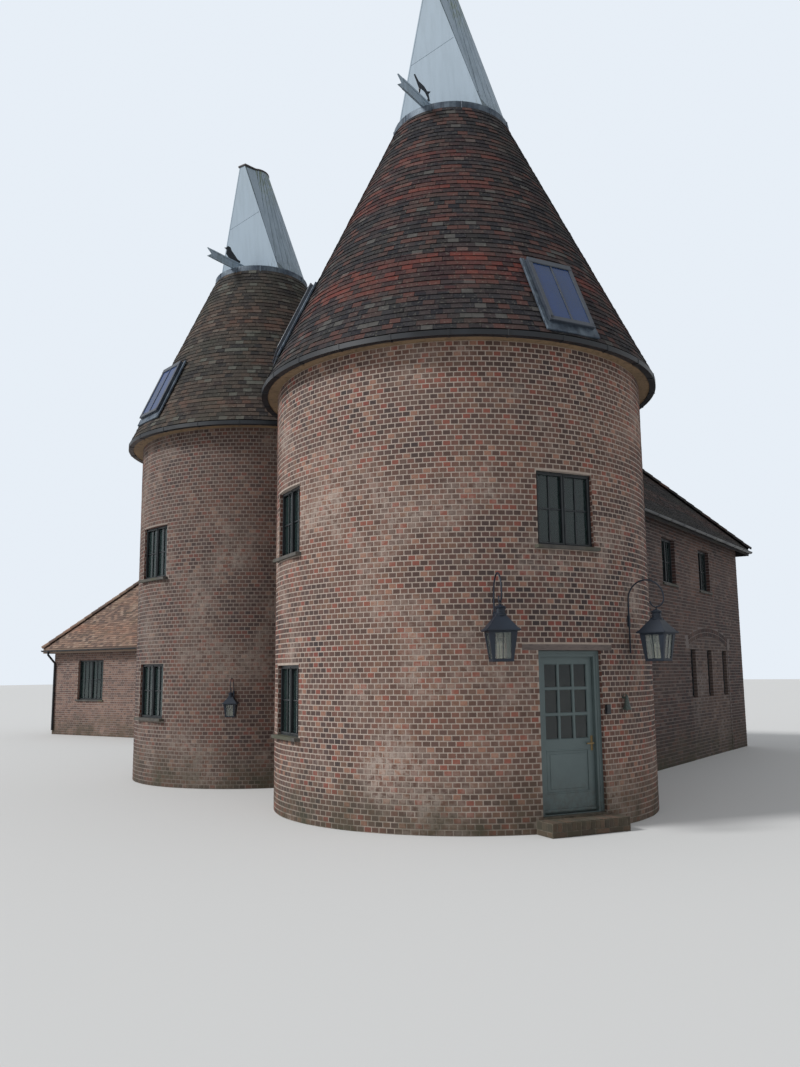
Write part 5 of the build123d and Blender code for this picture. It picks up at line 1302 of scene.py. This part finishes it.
for step in range(number):
    left = -STEP_HALF + step * 2 * STEP_HALF / number
    right = left + 2 * STEP_HALF / number
    back = -math.sqrt(3.05 ** 2 - min(abs(left), abs(right)) ** 2) + 0.002
    level = STEP_TOP + dice.uniform(0.002, 0.007)
    cut_at = STEP_FRONT + 0.215
    step_bricks.block(door_place, (left + 0.005, STEP_FRONT, STEP_TOP - 0.01), (right - 0.005, cut_at - 0.005, level), 0.004)
    step_bricks.block(door_place, (left + 0.005, cut_at + 0.005, STEP_TOP - 0.01), (right - 0.005, back - 0.006, level - 0.001), 0.004)
step_piece = step_bricks.piece("door_step_bricks")
step_clay = [(0.0, rgb(72, 58, 50)), (0.25, rgb(94, 72, 60)), (0.5, rgb(82, 70, 60)), (0.7, rgb(108, 80, 66)), (0.88, rgb(62, 54, 48))]
wear(step_piece, brick_material("step_brick", step_clay, rgb(120, 112, 96), 0.4, 0.0))
bedding, tree, shader, here = shade("step_bedding", Roughness=0.95)
mottle = use(tree, clouds, Vector=here, Scale=14.0, Low=0.3, High=0.7)["Mask"]
base = blend(tree, mottle, rgb(104, 96, 82), rgb(66, 60, 52))
tree.links.new(base, shader.inputs["Base Color"])
tree.links.new(use(tree, pits, Vector=here, Scale=110.0, Depth=0.003)["Normal"], shader.inputs["Normal"])
wear(nodes["door_step"], bedding)

# Lanterns: two large ones beside the entrance and a small one on the left kiln, folded from sheet steel and painted
# blue-black. Each hangs from a forged rod that is bent over and curled at its end, and has candle sleeves inside.
LANTERNS = [("main", 38.7, 2.245, 0.43, 1.0), ("main", 82.8, 2.245, 0.43, 1.0), ("left", 33.0, 1.33, 0.25, 0.62)]


def model_rod(path, radius, sides=5):
    """A round rod along a path of points: its points and faces, with closed ends."""
    curve = bpy.data.curves.new("rod", "CURVE")
    curve.dimensions = "3D"
    curve.bevel_depth = radius
    curve.bevel_resolution = sides - 3
    curve.use_fill_caps = True
    spline = curve.splines.new("POLY")
    spline.points.add(len(path) - 1)
    for point, spot in zip(spline.points, path):
        point.co = (*spot, 1)
    model = bpy.data.objects.new("rod", curve)
    mesh = bpy.data.meshes.new_from_object(model)
    points = [Vector(vertex.co) for vertex in mesh.vertices]
    faces = [tuple(face.vertices) for face in mesh.polygons]
    bpy.data.objects.remove(model)
    bpy.data.curves.remove(curve)
    bpy.data.meshes.remove(mesh)
    return points, faces


metalwork, candles, bulbs = Joinery(), Joinery(), Joinery()
for kiln, angle, foot, reach, size in LANTERNS:
    wall = kiln_place(kiln, angle)
    hang = wall @ Matrix.Translation((0, -0.022 * size - reach, foot)) @ Matrix.Scale(size, 4)
    for turn in range(4):
        side = hang @ Matrix.Rotation(math.radians(90 * turn), 4, "Z")
        metalwork.add(side, *model_rod([(0.213, 0.213, 0.392), (0.14, 0.14, 0.45), (0.085, 0.085, 0.53), (0.061, 0.061, 0.588)], 0.007))
        metalwork.block(side, (-0.222, -0.222, 0.376), (0.222, -0.208, 0.396), 0.004)
        metalwork.block(side, (-0.136, -0.14, -0.014), (0.136, -0.124, 0.012), 0.004)
        metalwork.block(side, (-0.172, -0.186, 0.352), (0.172, -0.176, 0.374), 0.003)
        metalwork.add(side, *model_rod([(0, -0.131, 0.006), (0, -0.178, 0.37)], 0.004))
        for level in (0.625, 0.655):
            metalwork.block(side, (-0.03, -0.066, level), (0.03, -0.056, level + 0.012), 0.002)
    chimney = model_turned([
        (0.0, 0.57), (0.082, 0.57), (0.084, 0.596), (0.064, 0.604), (0.0625, 0.668), (0.078, 0.676), (0.08, 0.686),
        (0.056, 0.7), (0.03, 0.708), (0.016, 0.72), (0.0, 0.722),
    ], 20)
    metalwork.add(hang, *chimney)
    ring_path = [(0.019 * math.cos(a), 0, 0.744 + 0.022 * math.sin(a)) for a in [math.radians(24 * n) for n in range(16)]]
    metalwork.add(hang, *model_rod(ring_path, 0.0045))
    for turn in range(3):
        spot = hang @ Matrix.Rotation(math.radians(120 * turn + 20), 4, "Z") @ Matrix.Translation((0.042, 0, 0))
        candles.add(spot, *model_turned([(0, 0.03), (0.02, 0.03), (0.02, 0.036), (0.0115, 0.04), (0.0115, 0.17), (0, 0.17)], 12))
        bulbs.add(spot, *model_turned([(0, 0.17), (0.008, 0.172), (0.015, 0.19), (0.014, 0.212), (0.005, 0.246), (0, 0.25)], 12))
    candles.add(hang, *model_turned([(0, 0.001), (0.06, 0.001), (0.056, 0.014), (0.012, 0.02), (0.008, 0.05), (0, 0.052)], 16))
lantern_trim = metalwork.piece("lantern_metalwork")
candle_piece = candles.piece("lantern_candle_sleeves")
bulb_piece = bulbs.piece("lantern_bulbs")
blue_black = painted("blue_black_paint", rgb(8, 20, 36), rgb(34, 50, 64), 0.55, 0.05)
for piece in (lantern_trim, nodes["lantern_frames"], nodes["lantern_brackets"]):
    wear(piece, blue_black)
wear(candle_piece, painted("candle_sleeve", rgb(206, 200, 178), rgb(150, 140, 116), 0.5))
wear(bulb_piece, painted("bulb_glass", rgb(214, 208, 186), rgb(180, 172, 150), 0.2, 0.5))
lamp_trim = Joinery()
bell_place = kiln_place("main", 78.2) @ Matrix.Translation((0, -0.07, 1.56))
lamp_trim.add(bell_place, *model_turned([
    (0.058, 0.0), (0.062, 0.004), (0.06, 0.014), (0.05, 0.04), (0.0425, 0.063), (0.0375, 0.09), (0.0325, 0.12), (0.0265, 0.15),
    (0.022, 0.178), (0.016, 0.198), (0.007, 0.206), (0.007, 0.215), (0, 0.218), (0, 0.19), (0.05, 0.012), (0.058, 0.0),
], 24))
lamp_trim.add(bell_place, *model_rod([(0, 0, 0.2), (0, 0.02, 0.222), (0, 0.055, 0.2), (0, 0.072, 0.168)], 0.005))
lamp_trim.add(bell_place, *model_turned([(0, -0.018), (0.011, -0.014), (0.014, 0.0), (0.01, 0.014), (0, 0.016)], 12))
bell_piece = lamp_trim.piece("entrance_bell_lamp")
fittings, tree, shader, here = shade("entrance_fittings", Roughness=0.45, Coat_Weight=0.1)
angle_side = put(tree, "SeparateXYZ", Vector=here).outputs["Y"]
bell_side = compare(tree, angle_side, -0.8)
speck = use(tree, clouds, Vector=here, Scale=46.0, Low=0.45, High=0.7)["Mask"]
black = blend(tree, speck, rgb(22, 24, 28), rgb(46, 48, 52))
verdigris = blend(tree, speck, rgb(54, 64, 60), rgb(78, 92, 84))
tree.links.new(blend(tree, bell_side, black, verdigris), shader.inputs["Base Color"])
tree.links.new(use(tree, pits, Vector=here, Scale=120.0, Depth=0.001)["Normal"], shader.inputs["Normal"])
wear(nodes["door_fittings"], fittings)
wear(bell_piece, fittings)
# Cowls: tapered softwood staves nailed round a frame, flat boards over the cheeks and the closed mouth, and a thin lid,
# all painted white. A forked vane board with a small black figure turns each cowl. Rain has stained the foot and greened
# the joints near the top.
COWL_BASE, COWL_TOP, COWL_FORWARD, COWL_HEIGHT = 1.0, 0.258, 0.225, 2.58
PANEL_FOOT, PANEL_LEAN = 0.44, 0.254
PANEL_TOP_HALF = 0.08
CHEEK_BACK = (0.16, 0.42)
LID_FALL = math.tan(math.radians(4))
LID_NOSE = 0.025
COWL_FOOT = {"main": 11.702, "left": 10.952}
STAVES = 40
COVER_REACH, COVER_BOARDS = 0.98, 14
PANEL_FOOT_HALF = math.sqrt(COWL_BASE**2 - PANEL_FOOT**2)
cheek_foot = Vector((PANEL_FOOT_HALF, -PANEL_FOOT, 0))
cheek_front = Vector((PANEL_TOP_HALF, -PANEL_FOOT - PANEL_LEAN, COWL_HEIGHT))
cheek_back = Vector((CHEEK_BACK[0], -CHEEK_BACK[1], COWL_HEIGHT))
cheek_out = (cheek_back - cheek_foot).cross(cheek_front - cheek_foot).normalized()


def on_cone(angle, height, out):
    """A point on the staves, at an angle from the front."""
    part = height / COWL_HEIGHT
    radius = COWL_BASE * (1 - part) + COWL_TOP * part + out
    return (radius * math.sin(angle), -COWL_FORWARD * part - radius * math.cos(angle), height)


def lid_height(angle):
    """Height at which the lid closes the cone, at an angle from the front."""
    return COWL_HEIGHT - LID_FALL * (on_cone(angle, COWL_HEIGHT, 0)[1] + PANEL_FOOT + PANEL_LEAN)


def stave_foot(angle):
    """Height at which the cone comes out of the cheek, at an angle from the front."""
    if math.cos(angle) * COWL_BASE <= PANEL_FOOT:
        return 0.0
    low, high = 0.0, COWL_HEIGHT
    for step in range(20):
        middle = (low + high) / 2
        point = Vector(on_cone(abs(angle), middle, 0))
        low, high = (low, middle) if (point - cheek_foot).dot(cheek_out) > 0 else (middle, high)
    return high


def panel_half(height):
    return PANEL_FOOT_HALF + (PANEL_TOP_HALF - PANEL_FOOT_HALF) * height / COWL_HEIGHT


def on_panel(x, height, out):
    return (x, -PANEL_FOOT - PANEL_LEAN * height / COWL_HEIGHT - out, height)


def solid_between(joinery, place, inner, outer):
    """A closed board between two outlines of as many points, the outer one listed against the clock from outside."""
    count = len(inner)
    faces = [tuple(range(count, 2 * count)), tuple(reversed(range(count)))]
    faces += [(n, (n + 1) % count, count + (n + 1) % count, count + n) for n in range(count)]
    joinery.add(place, [Vector(point) for point in list(inner) + list(outer)], faces)


def stave(joinery, place, start, end, proud):
    """One tapered board on the cone, between two angles, cut off below by the cheek."""
    gap = 0.006
    inner, outer = [], []
    for angle, way in ((start, 1), (end, -1)):
        low, high = stave_foot(angle) + 0.01, lid_height(angle) - 0.004
        low = min(low, high - 0.05)
        for height in ((low, high) if way > 0 else (high, low)):
            radius = COWL_BASE + (COWL_TOP - COWL_BASE) * height / COWL_HEIGHT
            inner.append(on_cone(angle + way * gap / radius / 2, height, -0.003))
            outer.append(on_cone(angle + way * (gap / 2 + 0.003) / radius, height, proud))
    solid_between(joinery, place, list(reversed(inner)), list(reversed(outer)))


cowl_paint_pieces, cowl_lid_pieces = [], []
for name, foot in COWL_FOOT.items():
    body = name + "_cowl"
    place = Matrix.Translation((KILNS[name]["x"], KILNS[name]["y"], foot))
    dice = random.Random(51 if name == "main" else 57)
    staves = Joinery()
    for number in range(STAVES):
        start, end = 2 * math.pi * (number / STAVES - 0.5), 2 * math.pi * ((number + 1) / STAVES - 0.5)
        if max(lid_height(angle) - stave_foot(angle) for angle in (start, end)) > 0.2:
            stave(staves, place, start, end, 0.007 + dice.uniform(0, 0.002))
    cowl_staves = staves.piece(body + "_staves")
    sheets = Joinery()
    seam_left, seam_right, top = 1.23, 1.41, COWL_HEIGHT - 0.004
    lower = [(-1, 0.004), (1, 0.004), (1, seam_right), (-1, seam_left)]
    upper = [(-1, seam_left + 0.008), (1, seam_right + 0.008), (1, top), (-1, top)]
    for outline in (lower, upper):
        flat = [(side * (panel_half(height) - 0.012), height) for side, height in outline]
        solid_between(sheets, place, [on_panel(x, height, -0.002) for x, height in flat], [on_panel(x, height, 0.007) for x, height in flat])
    for side in (-1, 1):
        strip = [(side * (panel_half(height) - inset), height) for height, inset in ((0.004, 0.024), (0.004, 0.002), (top, 0.002), (top, 0.024))]
        cheek = [cheek_foot.lerp(cheek_back, 0.12), cheek_foot.lerp(cheek_back, 0.985), cheek_foot.lerp(cheek_front, 0.985), cheek_foot.lerp(cheek_front, 0.12)]
        middle = (cheek_front + cheek_back) / 2
        cheek = [point.lerp(cheek_foot.lerp(middle, point.z / COWL_HEIGHT), 0.16) for point in cheek]
        cheek = [Vector((side * point.x, point.y, point.z)) for point in cheek]
        out = Vector((side * cheek_out.x, cheek_out.y, cheek_out.z))
        if side < 0:
            strip.reverse()
            cheek.reverse()
        solid_between(sheets, place, [on_panel(x, height, 0.0) for x, height in strip], [on_panel(x, height, 0.011) for x, height in strip])
        solid_between(sheets, place, [point - 0.002 * out for point in cheek], [point + 0.007 * out for point in cheek])
    cover = math.sqrt(COVER_REACH**2 - PANEL_FOOT**2)
    for number in range(COVER_BOARDS):
        edges = [cover * (2 * (number + part) / COVER_BOARDS - 1) for part in (0.02, 0.98)]
        fronts = [-math.sqrt(max(COVER_REACH**2 - x**2, PANEL_FOOT**2)) for x in edges]
        board = [(edges[0], -PANEL_FOOT - 0.008), (edges[0], fronts[0] - 0.01), (edges[1], fronts[1] - 0.01), (edges[1], -PANEL_FOOT - 0.008)]
        solid_between(sheets, place, [(x, y, 0.001) for x, y in board], [(x, y, 0.02) for x, y in board])
    cowl_sheets = sheets.piece(body + "_front_sheets")
    battens = Joinery()
    for level in (0.04, 0.195):
        for near, far in ((0.0125, 0.021), (-0.021, -0.0125)):
            battens.block(place, (near, -1.57, level), (far, -0.47, level + 0.035), 0.003)
    for spot in (-0.6, -0.95, -1.3):
        for side in (-1, 1):
            head = place @ Matrix.Translation((side * 0.0125, spot, 0.135)) @ Matrix.Rotation(math.radians(90 * side), 4, "Y")
            battens.add(head, *model_turned([(0, 0), (0.018, 0), (0.018, 0.003), (0.011, 0.004), (0.009, 0.011), (0, 0.013)], 12))
    cowl_battens = battens.piece(body + "_vane_battens")
    lid = Joinery()
    reach = COWL_TOP + LID_NOSE - 0.004
    edge = [(reach * math.sin(a), -COWL_FORWARD - reach * math.cos(a)) for a in [math.radians(42 + 12 * n) for n in range(24)]]
    front = PANEL_FOOT + PANEL_LEAN + LID_NOSE - 0.004
    edge += [(-PANEL_TOP_HALF - LID_NOSE + 0.004, -front), (PANEL_TOP_HALF + LID_NOSE - 0.004, -front)]
    path = [(x, y, COWL_HEIGHT - LID_FALL * (y + PANEL_FOOT + PANEL_LEAN) + 0.0175) for x, y in edge + edge[:1]]
    lid.add(place, *model_rod(path, 0.0125, 6))
    cowl_lid = lid.piece(body + "_lid_roll")
    for piece in (cowl_staves, cowl_sheets, cowl_battens, cowl_lid):
        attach(piece, body)
    cowl_paint_pieces += [cowl_staves, cowl_sheets, cowl_battens]
    cowl_lid_pieces.append(cowl_lid)


def cowl_finish(name, foot, joints, streaks=1.0):
    """White paint on weathered boards, given blue-grey as painted shade under a blue sky: streaks run down, algae grows
    under the lid and in the joints, dirt lies at the foot.
    """
    material, tree, shader, here = shade(name, Roughness=0.62, Coat_Weight=0.05)
    run_down = put(tree, "VectorMath", {"operation": "MULTIPLY"}, in0=here, in1=(12, 12, 0.9)).outputs[0]
    streak = use(tree, clouds, Vector=run_down, Scale=1.0, Low=0.42, High=0.72)["Mask"]
    streak = put(tree, "Math", {"operation": "MULTIPLY"}, in0=streak, in1=streaks).outputs[0]
    # Painted shade: the white paint is given as a blue-grey, as it looks in shade under a blue sky.
    base = blend(tree, streak, rgb(148, 164, 177), rgb(124, 139, 150))
    level = put(tree, "SeparateXYZ", Vector=here).outputs["Z"]
    high = put(tree, "MapRange", Value=level, From_Min=foot + 1.5, From_Max=foot + 2.6, To_Min=0.0, To_Max=joints).outputs["Result"]
    algae = use(tree, clouds, Vector=run_down, Scale=2.2, Low=0.44, High=0.6)["Mask"]
    algae = put(tree, "Math", {"operation": "MULTIPLY"}, in0=algae, in1=high).outputs[0]
    base = blend(tree, algae, base, rgb(112, 124, 92))
    low = put(tree, "MapRange", Value=level, From_Min=foot + 0.02, From_Max=foot + 0.32, To_Min=1.0, To_Max=0.0).outputs["Result"]
    drops = put(tree, "VectorMath", {"operation": "MULTIPLY"}, in0=here, in1=(26, 26, 3)).outputs[0]
    stain = use(tree, clouds, Vector=drops, Scale=1.0, Low=0.52, High=0.66)["Mask"]
    stain = put(tree, "Math", {"operation": "MULTIPLY"}, in0=stain, in1=low).outputs[0]
    base = blend(tree, stain, base, rgb(96, 106, 104))
    tree.links.new(base, shader.inputs["Base Color"])
    grain = put(tree, "VectorMath", {"operation": "MULTIPLY"}, in0=here, in1=(70, 70, 4)).outputs[0]
    tree.links.new(use(tree, pits, Vector=grain, Scale=1.0, Depth=0.002)["Normal"], shader.inputs["Normal"])
    return material, tree, shader, base


for name, foot in COWL_FOOT.items():
    stave_paint = cowl_finish(name + "_cowl_stave_paint", foot, 0.95)[0]
    sheet_paint = cowl_finish(name + "_cowl_sheet_paint", foot, 0.1, 0.35)[0]
    for piece in cowl_paint_pieces:
        if piece.name.startswith(name):
            wear(piece, stave_paint if piece.name.endswith("staves") else sheet_paint)
    # The shell behind the staves and sheets is darker and greener all over than the paint, so the gaps between the
    # staves show dark.
    core, tree, shader, base = cowl_finish(name + "_cowl_boards", foot, 1.0)
    tree.links.new(blend(tree, 0.6, base, rgb(74, 84, 82)), shader.inputs["Base Color"])
    wear(nodes[name + "_cowl_shell"], core)
    wear(nodes[name + "_cowl_panel"], core)
    vane, tree, shader, base = cowl_finish(name + "_cowl_vane", foot, 0.2)
    level = put(tree, "SeparateXYZ", Vector=put(tree, "TexCoord").outputs["Object"]).outputs["Z"]
    figure = compare(tree, level, foot + 0.2305)
    tree.links.new(blend(tree, figure, base, rgb(22, 26, 34)), shader.inputs["Base Color"])
    wear(nodes[name + "_cowl_vane"], vane)
dark_lid = painted("cowl_lid", rgb(58, 52, 54), rgb(96, 92, 90), 0.6, 0.0, 0.001)
for piece in cowl_lid_pieces + [nodes["main_cowl_lid"], nodes["left_cowl_lid"]]:
    wear(piece, dark_lid)
